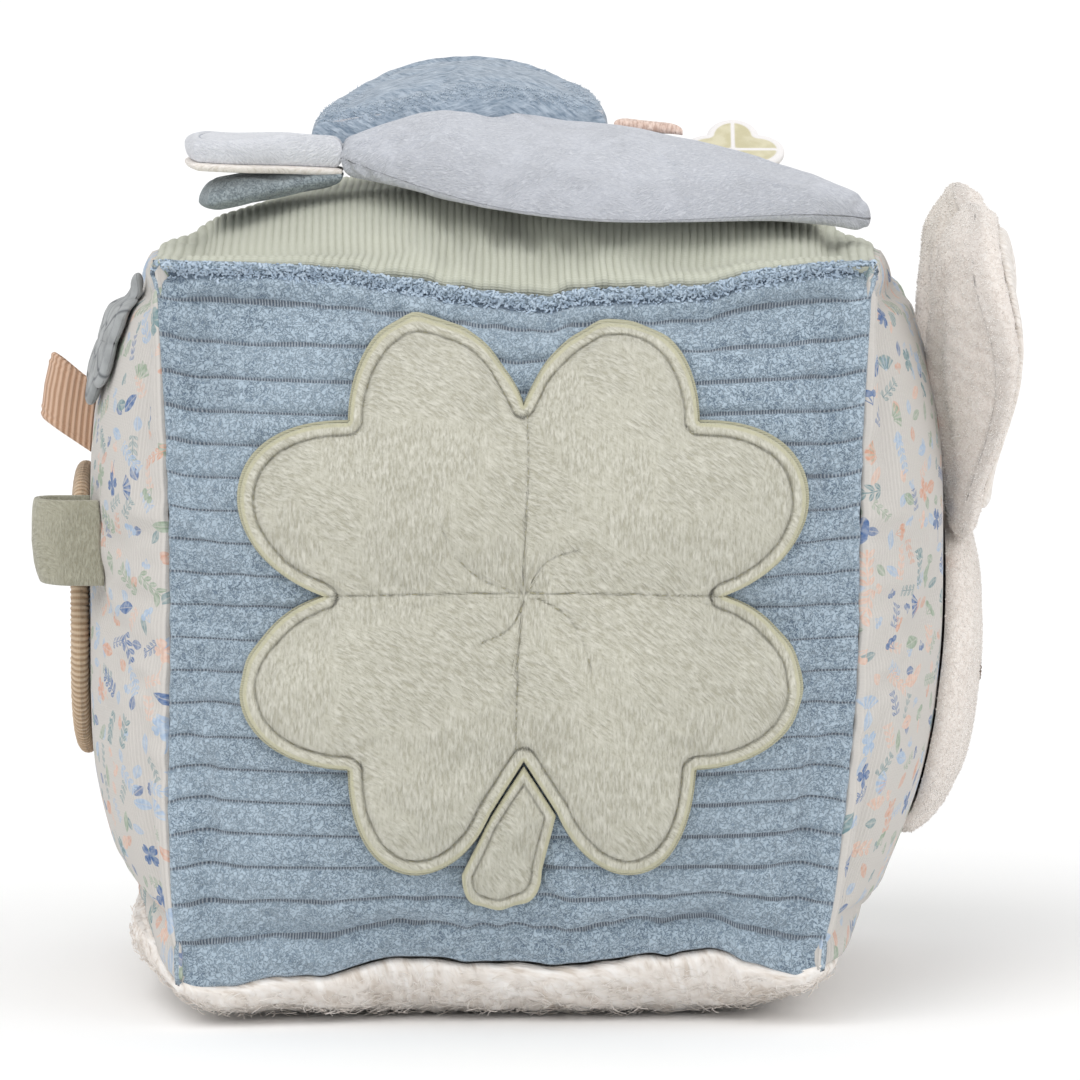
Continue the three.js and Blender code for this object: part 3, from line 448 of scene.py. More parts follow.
def printed_cotton(name):
    """Ribbed white cotton with a scatter of small watercolour leaves and sprigs."""
    f = Finish(name, rough=0.9, sheen=0.1)
    sage, teal = (142, 160, 138), (104, 136, 142)
    powder, denim = (158, 180, 206), (58, 98, 152)
    terracotta, sand = (206, 154, 130), (216, 180, 162)
    cloth = (202, 198, 193)
    across, up = split(f.flat)[:2]
    large = Print(f.flat, 9.0, 3.0)
    small = Print(f.flat, 6.4, 41.0)
    shapes = [
        small.leaf(small.u, small.v, 2.6, 1.1),
        small.berries(1.8, 0.65),
        small.sprig(2.7, 1.6, 1.0, 0.45),
        small.leaf(small.u, small.v, 1.8, 1.2),
    ]
    ground = small.drawn(cloth, shapes, [powder, sage, teal, sand, denim, powder, terracotta], 0.8)
    shapes = [
        large.leaf(large.u, large.v, 3.4, 1.5),
        large.sprig(3.9, 2.0, 1.35, 0.62),
        large.berries(2.6, 0.85),
        large.fan(3.6),
        large.sprig(4.0, 1.6, 1.05, 0.5),
        large.clover(2.9),
        large.leaf(large.u, large.v, 2.9, 1.3),
    ]
    drawn = large.drawn(ground, shapes, [sage, powder, terracotta, teal, denim, sage, sand, powder], 0.95)
    rib = across.waves(PRINT_RIB, -1.0, 0.6)
    knit = up.waves(PRINT_KNIT)
    height = rib * 0.75 + knit * 0.12 + noise(f.place, 1.5) * 0.2
    # Painted shade in the grooves of the rib and faint painted light on its crests.
    return f.with_relief(scaled(drawn, height.ramp(0.1, 0.8, 0.95, 1.01)), height, 0.16)


# Meshes from grids of points in millimetres

WELD_WITHIN = 0.004
JOIN_WITHIN = 0.01


def grid_faces(rows, columns, joined_up=False, start=0):
    """The quads of a grid of points; its last column meets its first where it is joined up."""
    i, j = np.meshgrid(np.arange(rows - 1), np.arange(columns - (not joined_up)), indexing="ij")
    k = (j + 1) % columns
    quads = np.stack([i * columns + j, i * columns + k, (i + 1) * columns + k, (i + 1) * columns + j], -1)
    return quads.reshape(-1, 4) + start


def mesh_of(name, points, faces, marks=None, flat=None):
    """A welded mesh with numbers kept on its points and flat places, in metres, kept as its UV map."""
    mesh = bpy.data.meshes.new(name)
    mesh.from_pydata((np.asarray(points).reshape(-1, 3) * MM).tolist(), [], [list(map(int, f)) for f in faces])
    for mark, values in (marks or {}).items():
        layer = mesh.attributes.new(mark, "FLOAT", "POINT")
        layer.data.foreach_set("value", np.asarray(values, np.float32).ravel())
    if flat is not None:
        corners = np.zeros(len(mesh.loops), int)
        mesh.loops.foreach_get("vertex_index", corners)
        layer = mesh.uv_layers.new(name="flat")
        layer.data.foreach_set("uv", (np.asarray(flat, float).reshape(-1, 2)[corners] * MM).ravel())
    shell = bmesh.new()
    shell.from_mesh(mesh)
    bmesh.ops.remove_doubles(shell, verts=shell.verts, dist=WELD_WITHIN * MM)
    bmesh.ops.recalc_face_normals(shell, faces=shell.faces)
    shell.to_mesh(mesh)
    shell.free()
    mesh.shade_smooth()
    return mesh


def stood(name, data):
    """A new object in the scene."""
    thing = bpy.data.objects.new(name, data)
    bpy.context.scene.collection.objects.link(thing)
    return thing


def placed(name, mesh, material, body="block", nodes=()):
    """A finished piece that rides on a body and stands for its CAD nodes, which it hides."""
    piece = stood(name, mesh)
    piece.data.materials.clear()
    piece.data.materials.append(material)
    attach(piece, body)
    if nodes:
        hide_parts(*nodes)
    return piece


def between(grid, rows, columns, joined_up=False):
    """Points of the smooth surface through a coarse grid, at fractional rows and columns."""
    first, last = 2 * grid[:1] - grid[1:2], 2 * grid[-1:] - grid[-2:-1]
    framed = np.concatenate([first, grid, last])
    if joined_up:
        framed = np.concatenate([framed[:, -1:], framed, framed[:, :2]], 1)
    else:
        left, right = 2 * framed[:, :1] - framed[:, 1:2], 2 * framed[:, -1:] - framed[:, -2:-1]
        framed = np.concatenate([left, framed, right], 1)
    row = np.clip(np.floor(rows).astype(int), 0, grid.shape[0] - 2)
    most = grid.shape[1] - (1 if joined_up else 2)
    column = np.clip(np.floor(columns).astype(int), 0, most)
    total = 0
    for i, in_row in enumerate(shares_of(rows - row)):
        for j, in_column in enumerate(shares_of(columns - column)):
            total = total + framed[row + i, column + j] * (in_row * in_column)[..., None]
    return total


def shares_of(t):
    """How much each of four neighbours counts at a share t between the middle two."""
    return (
        0.5 * (-t + 2 * t**2 - t**3),
        0.5 * (2 - 5 * t**2 + 3 * t**3),
        0.5 * (t + 4 * t**2 - 3 * t**3),
        0.5 * (-(t**2) + t**3),
    )


def ripple(*places, seed=0, octaves=3):
    """Smooth noise from sums of waves, from about -1 to 1; the places are in radians."""
    random = np.random.default_rng(seed)
    total = 0.0
    for octave in range(octaves):
        for _ in range(3):
            turns = random.normal(size=len(places)) * 1.6**octave
            phase = random.uniform(0, 2 * np.pi)
            total = total + np.sin(sum(t * p for t, p in zip(turns, places)) + phase) / 1.5**octave
    return total / (3 * sum(1.5**-o for o in range(octaves)) ** 0.8)


def smooth(value, low, high):
    t = np.clip((value - low) / (high - low), 0, 1)
    return t * t * (3 - 2 * t)


def rounded(edge, wide, fullness=2.4):
    """A pillow's share of its height, from 0 at its rim to 1 a given width inside it."""
    return np.sqrt(np.maximum(0, 1 - np.abs(1 - np.clip(edge / wide, 0, 1)) ** fullness))


def bell(far, wide):
    """1 where far is 0, falling away evenly on both sides."""
    return np.exp(-((far / wide) ** 2))


def near(spread, *gaps):
    """1 where all the gaps are 0, falling away round that place."""
    return np.exp(-sum(gap**2 for gap in gaps) / spread)


def ring(count, half_wide, half_high):
    """Evenly turned points of an ellipse."""
    angle = np.arange(count) / count * 2 * np.pi
    return np.stack([half_wide * np.cos(angle), half_high * np.sin(angle)], -1)


def normals_of(grid, joined_up=False):
    """The direction across each point of a grid surface, to the side that its quads face."""
    if joined_up:
        along = np.roll(grid, -1, 1) - np.roll(grid, 1, 1)
    else:
        along = np.gradient(grid, axis=1)
    up = np.gradient(grid, axis=0)
    out = np.cross(along, up)
    return out / np.maximum(np.linalg.norm(out, axis=-1, keepdims=True), 1e-9)


# Cloth, pumped up while its seams are held

PUMP_FRAMES = 20
CLOTH_QUALITY = 5
CLOTH_MASS = 0.3


def swollen(points, faces, held, pressure, most, slack=0.0):
    """How far each point of a closed bag moves, in millimetres, when it is pumped up.
    held is 1 where a seam holds the cloth; slack is the share of spare cloth that puckers."""
    mesh = bpy.data.meshes.new("bag")
    mesh.from_pydata((points * MM).tolist(), [], [list(map(int, f)) for f in faces])
    bag = stood("bag", mesh)
    group = bag.vertex_groups.new(name="held")
    for i, weight in enumerate(held):
        group.add([i], float(weight), "REPLACE")
    cloth = bag.modifiers.new("cloth", "CLOTH")
    settings = cloth.settings
    settings.quality = CLOTH_QUALITY
    settings.mass = CLOTH_MASS
    settings.use_pressure = True
    settings.uniform_pressure_force = pressure
    settings.vertex_group_mass = "held"
    settings.shrink_min = -slack
    settings.effector_weights.gravity = 0.0
    cloth.collision_settings.use_collision = False
    cloth.point_cache.frame_start = 1
    cloth.point_cache.frame_end = PUMP_FRAMES
    scene = bpy.context.scene
    for frame_number in range(1, PUMP_FRAMES + 1):
        scene.frame_set(frame_number)
    graph = bpy.context.evaluated_depsgraph_get()
    after = np.zeros(len(points) * 3)
    bag.evaluated_get(graph).data.vertices.foreach_get("co", after)
    moves = after.reshape(-1, 3) / MM - points
    bpy.data.objects.remove(bag)
    bpy.data.meshes.remove(mesh)
    scene.frame_set(1)
    far = np.linalg.norm(moves, axis=1, keepdims=True)
    return np.nan_to_num(moves * np.minimum(1, most / np.maximum(far, 1e-9)))


def welded(points, faces):
    """Distinct points of a mesh, its faces by those points, and the distinct point of each given one."""
    keys = np.round(points.reshape(-1, 3) / JOIN_WITHIN).astype(int)
    first, back = np.unique(keys, axis=0, return_index=True, return_inverse=True)[1:]
    back = back.ravel()
    kept = []
    for face in faces:
        corners = list(dict.fromkeys(back[list(face)].tolist()))
        if len(corners) > 2:
            kept.append(corners)
    return points.reshape(-1, 3)[first], kept, back


# The form of the stuffed cube

def puffed(unit, inset=0.0):
    """Points of the unit cube, from -1 to 1 each way, moved to the block's form."""
    half = HALF - inset
    places = []
    for axis, (one, two) in enumerate(OTHER_AXES):
        share, a, b = unit[..., axis], unit[..., one], unit[..., two]
        size = np.abs(share)
        (low, low_power), (high, high_power) = CROWNS[axis]
        crown = np.where(share < 0, low, high)
        power = np.where(share < 0, low_power, high_power)
        swell = crown * (1 - np.abs(a) ** power) * (1 - np.abs(b) ** power)
        drawn = np.abs(a) ** CORNER_POWER * EDGE_DRAWS[two] * (1 - b * b)
        drawn = drawn + np.abs(b) ** CORNER_POWER * EDGE_DRAWS[one] * (1 - a * a)
        drawn = drawn * (np.where(share < 0, RESTING_DRAW_SHARE, 1.0) if axis == 2 else 1.0)
        places.append(np.sign(share) * (half * size + size**CORNER_POWER * (swell - drawn)))
    points = np.stack(places, -1)
    points[..., 2] = np.maximum(points[..., 2] + MIDDLE, inset)
    return points


def cage_units(face):
    """The unit-cube points of one face's grid, row by row."""
    across, up, out = FACES[face]
    shares = np.linspace(-1, 1, CAGE + 1)
    rows, columns = np.meshgrid(shares, shares, indexing="ij")
    return out + rows[..., None] * up + columns[..., None] * across


def corrected(x, y, z):
    """How far the filled block leans away from its even form: lower back corners and a drawn-in right foot."""
    back_corner = smooth(np.abs(x), 0.5, 1.0) * smooth(y, -0.7, 0.9) * smooth(z, 0.2, 1.0)
    foot_corner = near(0.02, 1 - np.abs(x), y + 1, z + 1)
    drawn_in = smooth(x, 0.2, 1.0) * smooth(-z, 0.0, 1.0) * RIGHT_FOOT_DRAWN_IN
    inward = drawn_in + foot_corner * np.where(x < 0, -2.0, 3.0)
    lowered = back_corner * np.where(x < 0, *BACK_CORNERS_LOWERED)
    return np.stack([-inward, 0 * inward, foot_corner * 1.0 - lowered], -1)


class Cover:
    """The six panels as one welded bag that is pumped up, with a grid of points for each face."""

    def __init__(self):
        every = np.concatenate([cage_units(face).reshape(-1, 3) for face in FACES])
        keys = np.round(every * CAGE).astype(int)
        first, back = np.unique(keys, axis=0, return_index=True, return_inverse=True)[1:]
        self.unit = every[first]
        self.rest = puffed(self.unit)
        self.back = back.reshape(len(FACES), CAGE + 1, CAGE + 1)
        self.faces = np.concatenate([grid.ravel()[grid_faces(CAGE + 1, CAGE + 1)] for grid in self.back])
        points = self.settled(self.pumped())
        self.grids = {face: points[self.back[i]] for i, face in enumerate(FACES)}

    def pumped(self):
        """The bag's points after its slightly slack panels are pumped up between the seams."""
        seam = smooth(np.sort(np.abs(self.unit), axis=1)[:, 1], 0.9, 1.0)
        resting = smooth(-self.unit[:, 2], 0.9, 1.0)
        held = np.maximum(seam, resting)
        outward = self.rest - np.array((0, 0, MIDDLE))
        outward /= np.linalg.norm(outward, axis=1, keepdims=True)
        slack = self.rest - SPARE_CLOTH * outward * (1 - held)[:, None]
        moves = swollen(slack, self.faces, held, COVER_PRESSURE, COVER_SWELL, 0.02)
        return slack + moves if moves.any() else self.rest

    def settled(self, points):
        """The bag's points with the ripples sewn into its front seams and its corners eased."""
        points = points.copy()
        x, y, z = self.unit.T
        at_foot, at_top = near(0.03, y + 1, z + 1), near(0.03, y + 1, z - 1)
        ripples = 1.9 * ripple(x * 9.5, seed=5, octaves=2) + 1.0 * ripple(x * 20, seed=6) - 2.2
        points[:, 2] += near(0.05, y + 1, z + 1) * (1 - x**4) * ripples
        ripples = 2.8 + 1.1 * ripple(x * 8.0, seed=9, octaves=2) + 0.5 * ripple(x * 18, seed=8)
        points[:, 2] += at_top * (1 - x**4) * ripples
        points[:, 2] += at_top * np.interp(x, TOP_SEAM_PLACES, TOP_SEAM_RISES)
        widened = smooth(np.abs(x), 0.5, 1) * smooth(z, -1, -0.4) * np.where(x < 0, *FRONT_WIDENED)
        points[:, 0] += near(0.1, y + 1) * widened
        points[:, 2] += at_foot * np.interp(x, FOOT_SEAM_PLACES, FOOT_SEAM_RISES)
        away = smooth(y, -1, -0.35) * (1 - smooth(y, 0.1, 0.95))
        left = x < -0.999
        sole = (z < -0.999) & ~left
        points[:, 0] -= away * sole * np.interp(x, SOLE_PLACES, SOLE_SPREADS) * SOLE_OUT
        points[:, 0] -= away * smooth(-z, 0.8, 1) * left * LEFT_FOOT_OUT
        points[:, 2] += away * smooth(-z, 0.7, 1) * left * LEFT_FOOT_RISE
        points[:, 2] += away * sole * np.interp(x, SOLE_PLACES, SOLE_RISES)
        points[:, 2] -= (z < -0.999) * smooth(-x, 0.6, 0.9) * bell(y + 0.85, 0.2) * 3.0
        points += corrected(x, y, z)
        points[:, 2] = np.maximum(points[:, 2], 0.0)
        return points


COVER = Cover()


def on_face(face, across, up, out=0.0):
    """A place on a face: millimetres across and up from its middle, and out from its surface."""
    across, up = np.broadcast_arrays(np.asarray(across, float), np.asarray(up, float))
    rows, columns = (up / HALF + 1) * CAGE / 2, (across / HALF + 1) * CAGE / 2
    points = between(COVER.grids[face], rows, columns)
    return points + np.asarray(out)[..., None] * FACES[face][2]


def panel_mesh(face, columns, rows):
    """One fabric panel with its edges turned in: a fine outer side and a plain inner one."""
    reach = HALF - SEAM_GAP
    up, across = np.meshgrid(np.linspace(-reach, reach, rows + 1), np.linspace(-reach, reach, columns + 1),
                             indexing="ij")
    edge = np.minimum(reach - np.abs(across), reach - np.abs(up))
    outer = on_face(face, across, up)
    out = normals_of(outer)
    roll = PANEL_ROLL - np.sqrt(np.maximum(0, PANEL_ROLL**2 - np.maximum(0, PANEL_ROLL - edge) ** 2))
    around = np.where(reach - np.abs(across) < reach - np.abs(up), up, across)
    gathers = 0.42 * ripple(around * 0.75, edge * 0.12, seed=len(face), octaves=2)
    gathers = gathers * smooth(edge, 0, 2.5) * np.exp(-edge / 5.5)
    sewn, rising = np.zeros_like(edge), edge
    if face == "front":
        below_top = reach - up - HEM_DEEP - 0.9 * ripple(across * 0.11, seed=71)
        sewn, rising = bell(below_top, 0.5), reach - up
        puff = smooth(-below_top, 0, 1.6)
        gathers = gathers + 0.8 * puff - 1.5 * bell(below_top, 0.8) + 0.5 * puff * ripple(across * 0.5, seed=73)
    if face == "bottom":
        gathers = gathers + 0.9 * ripple(across * 0.55, up * 0.55, seed=75) * smooth(edge, 0, 3)
    outer = outer + out * (gathers - roll)[..., None]
    outer[..., 2] = np.maximum(outer[..., 2], FLOOR_GAP)
    if face == "front":
        pile = smooth(up, reach - HEM_DEEP - 0.6, reach - HEM_DEEP + 0.4) * smooth(edge, 0.1, 0.8)
    else:
        pile = smooth(outer[..., 2], 0.4, 1.6) * smooth(edge, 1.5, 4.0)
    few = slice(None, None, FINE_TO_COARSE)
    inner_across, inner_up = across[few, few], up[few, few]
    shrink = (HALF - PANEL_THICK) / HALF
    inner = on_face(face, inner_across * shrink, inner_up * shrink, -PANEL_THICK)
    points = np.concatenate([outer.reshape(-1, 3), inner.reshape(-1, 3)])
    start = edge.size
    faces = grid_faces(*edge.shape).tolist()
    faces += [f[::-1] for f in grid_faces(*inner_up.shape, start=start).tolist()]
    fine = np.arange(start).reshape(edge.shape)
    coarse = start + np.arange(inner_up.size).reshape(inner_up.shape)
    rims = ((fine[0], coarse[0]), (fine[:, -1], coarse[:, -1]),
            (fine[-1, ::-1], coarse[-1, ::-1]), (fine[::-1, 0], coarse[::-1, 0]))
    for long_way, short_way in rims:
        for i in range(len(short_way) - 1):
            run = long_way[i * FINE_TO_COARSE:(i + 1) * FINE_TO_COARSE + 1]
            faces.append([short_way[i], short_way[i + 1], *run[::-1]])
    marks = {"outside": np.ones_like(edge), "edge": edge, "sewn": sewn, "pile": pile, "rising": rising}
    marks = {mark: np.concatenate([values.ravel(), np.zeros(inner_up.size)]) for mark, values in marks.items()}
    flat = np.concatenate([np.stack([across, up], -1).reshape(-1, 2),
                           np.stack([inner_across, inner_up], -1).reshape(-1, 2)])
    return mesh_of(face + " panel", points, faces, marks, flat)


# Geometry node trees for what repeats

HALF_TURN = 3.14
STITCH_SEED = 3


def new_tree(name, **sizes):
    """A tree with a geometry, a material and inputs for its sizes; gives it and a wire for each input."""
    tree = bpy.data.node_groups.new(name, "GeometryNodeTree")
    for way in ("OUTPUT", "INPUT"):
        tree.interface.new_socket("Geometry", in_out=way, socket_type="NodeSocketGeometry")
    for label, value in sizes.items():
        kind = "NodeSocketInt" if isinstance(value, int) else "NodeSocketFloat"
        tree.interface.new_socket(label, in_out="INPUT", socket_type=kind).default_value = value
    tree.interface.new_socket("Material", in_out="INPUT", socket_type="NodeSocketMaterial")
    start = tree.nodes.new("NodeGroupInput")
    return tree, {output.name: Wire(tree, output) for output in start.outputs if output.name}


def end_tree(geometry, material):
    """Closes a tree with its real, smooth and dressed geometry."""
    tree = geometry.tree
    real = step(tree, "GeometryNodeRealizeInstances", {0: geometry})
    smoothed = step(tree, "GeometryNodeSetShadeSmooth", {0: real})
    coated = step(tree, "GeometryNodeSetMaterial", {0: smoothed, "Material": material})
    end = tree.nodes.new("NodeGroupOutput")
    tree.links.new(coated.socket, end.inputs[0])
    return tree


def grown(name, mesh, tree, material, **sizes):
    """The plain mesh that a tree makes of another mesh."""
    holder = stood(name, mesh)
    modifier = holder.modifiers.new(name, "NODES")
    modifier.node_group = tree
    inputs = {item.name: item.identifier for item in tree.interface.items_tree if item.in_out == "INPUT"}
    for label, value in {**sizes, "Material": material}.items():
        modifier[inputs[label]] = value
    bpy.context.view_layer.update()
    graph = bpy.context.evaluated_depsgraph_get()
    shown = holder.evaluated_get(graph)
    made = bpy.data.meshes.new_from_object(shown, preserve_all_data_layers=True, depsgraph=graph)
    holder.modifiers.remove(modifier)
    bpy.data.objects.remove(holder)
    made.name = name
    return made


def dressed(name, mesh, tree, material, body="block", slot=None, **sizes):
    """A piece that a tree makes of another mesh."""
    return placed(name, grown(name, mesh, tree, material, **sizes), material, body)


def stitched(name, rows, material, pitch, length, thick, body="block", slot=None):
    """Rows of stitches along lines through points in millimetres."""
    dressed(name, line_mesh(name + " line", rows), STITCHES, material, body, slot,
            Pitch=pitch, Length=length, Thick=thick)


def named(tree, label):
    return step(tree, "GeometryNodeInputNamedAttribute", {"Name": label}, "Attribute", data_type="FLOAT")


def wale_tree():
    """Raises even wales across a panel, level or upright, with narrow grooves between them."""
    tree, given = new_tree("wales", Wales=21.0, Depth=2.0, Floor=0.12, Fullness=3.0, Waver=0.6, Upright=0.0,
                           Hem=0.0, Clumps=0.0)
    flat = step(tree, "GeometryNodeInputNamedAttribute", {"Name": "flat"}, "Attribute", data_type="FLOAT_VECTOR")
    across, up = split(scaled(flat, 1 / MM))[:2]
    place = up + (across - up) * given["Upright"]
    beside = across + (up - across) * given["Upright"]
    wave = noise(joined(tree, beside * 0.03, place * 0.02), 1.0)
    place = place + (wave - 0.5) * given["Waver"] * 2.0
    share = ((place / HALF + 1.0) * 0.5 * given["Wales"]).part()
    side = abs(share * 2.0 - 1.0) / (1.0 - given["Floor"])
    height = (1.0 - side.least(1.0) ** given["Fullness"]) ** 0.5
    edge = named(tree, "edge")
    inside = (named(tree, "rising") - given["Hem"]).ramp(-0.3, 0.3)
    height = 1.0 - (1.0 - height) * inside
    hemmed = height * edge.ramp(0.4, 2.4) * named(tree, "outside")
    sunk = (hemmed - named(tree, "outside") * edge.ramp(0.2, 1.6)) * given["Depth"] * MM
    plump = noise(joined(tree, beside * 0.11, place * 0.1, 7.0), 1.0) - 0.5
    sunk = sunk + plump * hemmed * given["Depth"] * (0.35 * MM)
    clump = abs(noise(joined(tree, across, up), 0.75, 1.0, 0.5, 0.8) - 0.5) * 2.0
    sunk = sunk - (1.0 - clump.ramp(0.0, 0.3)) * hemmed * given["Clumps"] * MM
    normal = step(tree, "GeometryNodeInputNormal")
    inputs = {"Geometry": given["Geometry"], "Offset": scaled(normal, sunk)}
    moved = step(tree, "GeometryNodeSetPosition", inputs)
    kept = step(tree, "GeometryNodeStoreNamedAttribute",
                {"Geometry": moved, "Name": "wale", "Value": height}, data_type="FLOAT", domain="POINT")
    return end_tree(kept, given["Material"])


def chance(tree, low, high, seed):
    """A fixed random number between two others."""
    return step(tree, "FunctionNodeRandomValue", {2: low, 3: high, 8: seed}, 1, data_type="FLOAT")


def turned(facing, x=0.0, y=0.0, z=0.0):
    """A rotation turned further about its own axes."""
    turn = step(facing.tree, "FunctionNodeEulerToRotation", {0: joined(facing.tree, x, y, z)})
    return step(facing.tree, "FunctionNodeRotateRotation", {0: facing, 1: turn}, rotation_space="LOCAL")


def strewn(tree, given):
    """Spots on a surface, so many for a square millimetre; the mark called pile says where they are thickest."""
    inputs = {"Mesh": given["Geometry"], "Density": given["Density"] * 1e6 * named(tree, "pile"),
              "Seed": given["Seed"]}
    return step(tree, "GeometryNodeDistributePointsOnFaces", inputs, distribute_method="RANDOM")


def set_out(tree, given, spots, thing, rotation, *size):
    """Ends a tree with one thing at each spot."""
    inputs = {"Points": spots, "Instance": thing, "Rotation": rotation, "Scale": joined(tree, *size)}
    return end_tree(step(tree, "GeometryNodeInstanceOnPoints", inputs), given["Material"])


def pile_tree():
    """Stands short pointed tufts on a surface."""
    tree, given = new_tree("pile", Density=2.0, Tall=0.7, Wide=0.3, Long=2.0, Lean=0.4, Seed=1)
    spots = strewn(tree, given)
    tuft = step(tree, "GeometryNodeMeshCone", {
        "Vertices": 4, "Side Segments": 1, "Fill Segments": 1,
        "Radius Top": 0.0, "Radius Bottom": given["Wide"] * MM, "Depth": given["Tall"] * MM})
    spin = chance(tree, -HALF_TURN, HALF_TURN, given["Seed"] + 1)
    lean = chance(tree, given["Lean"] * -1.0, given["Lean"], given["Seed"] + 2)
    tip = chance(tree, given["Lean"] * -1.0, given["Lean"], given["Seed"] + 3)
    size = chance(tree, 0.7, 1.25, given["Seed"] + 4)
    facing = turned(also(spots, "Rotation"), lean, tip, spin)
    return set_out(tree, given, spots, tuft, facing, size * given["Long"], size, size)


def stitch_tree():
    """Lays plump stitches end to end along lines."""
    tree, given = new_tree("stitches", Pitch=2.2, Length=1.7, Thick=0.45)
    line = step(tree, "GeometryNodeMeshToCurve", {0: given["Geometry"]})
    spots = step(tree, "GeometryNodeCurveToPoints", {"Curve": line, "Length": given["Pitch"] * MM}, mode="LENGTH")
    facing = step(tree, "FunctionNodeAlignRotationToVector", {"Vector": also(spots, "Tangent")}, axis="Z")
    slant = chance(tree, -0.1, 0.1, STITCH_SEED)
    stitch = step(tree, "GeometryNodeMeshUVSphere", {"Segments": 6, "Rings": 5, "Radius": 0.5 * MM})
    facing = turned(facing, slant, slant)
    return set_out(tree, given, spots, stitch, facing, given["Thick"], given["Thick"], given["Length"])


def curl_tree():
    """Lays curled tufts of long fleece on a surface."""
    tree, given = new_tree("curls", Density=0.2, Reach=2.6, Thick=0.5, Bent=1.1, Up=0.4, Seed=1)
    spots = strewn(tree, given)
    arc = step(tree, "GeometryNodeCurveArc", {"Resolution": 6, "Radius": given["Reach"] * (0.5 * MM),
                                              "Start Angle": 0.2, "Sweep Angle": given["Bent"]})
    round_end = step(tree, "GeometryNodeCurvePrimitiveCircle", {"Resolution": 3, "Radius": given["Thick"] * MM})
    curl = step(tree, "GeometryNodeCurveToMesh", {"Curve": arc, "Profile Curve": round_end, "Fill Caps": True})
    tilt = chance(tree, given["Up"] * -0.6, given["Up"] * 1.4, given["Seed"] + 1)
    spin = chance(tree, -HALF_TURN, HALF_TURN, given["Seed"] + 2)
    size = chance(tree, 0.6, 1.4, given["Seed"] + 4)
    facing = turned(turned(also(spots, "Rotation"), z=spin), tilt)
    return set_out(tree, given, spots, curl, facing, size, size, size)


# Outlines, anticlockwise, in millimetres

def traced(start, *parts):
    """Closely spaced points of a closed path of lines and curves, each given by its further points."""
    points, here = [], np.array(start, float)
    t = np.linspace(0, 1, 60, endpoint=False)[:, None]
    for part in parts:
        knots = [here, *(np.array(p, float) for p in part)]
        here = knots[-1]
        while len(knots) > 1:
            knots = [one * (1 - t) + two * t for one, two in zip(knots, knots[1:])]
        points.append(knots[0])
    return np.concatenate(points)


def evenly(outline, count):
    """The same closed outline with a given number of evenly spaced points."""
    closed = np.concatenate([outline, outline[:1]])
    far = np.concatenate([[0], np.cumsum(np.linalg.norm(np.diff(closed, axis=0), axis=1))])
    at = np.linspace(0, far[-1], count, endpoint=False)
    return np.stack([np.interp(at, far, closed[:, i]) for i in (0, 1)], -1)


def inside_by(x, y, outline):
    """How far points lie from an outline."""
    points = np.stack([x, y], -1).reshape(-1, 1, 2)
    ends = np.roll(outline, -1, 0)
    run = ends - outline
    lengths = np.maximum((run**2).sum(-1), 1e-9)
    least = np.full(len(points), 1e9)
    for part in range(0, len(points), 4000):
        away = points[part:part + 4000] - outline
        t = np.clip((away * run).sum(-1) / lengths, 0, 1)
        least[part:part + 4000] = np.linalg.norm(away - t[..., None] * run, axis=-1).min(-1)
    return least.reshape(np.shape(x))


def scalloped(radius, scallop, lobes, count):
    angle = np.arange(count) / count * 2 * np.pi
    reach = radius + scallop * (2 * np.abs(np.cos((angle + np.pi / 2) * lobes / 2)) - 1)
    return np.stack([reach * np.cos(angle), reach * np.sin(angle)], -1)


def level(height):
    """One height all over a pad."""
    return lambda x, y, edge: height + 0 * x


def held_rim(first, last):
    """Holds a pad's seam while it is pumped: fully within one distance from its rim, not at all past another."""
    return lambda x, y, edge: smooth(-edge, -last, -first)


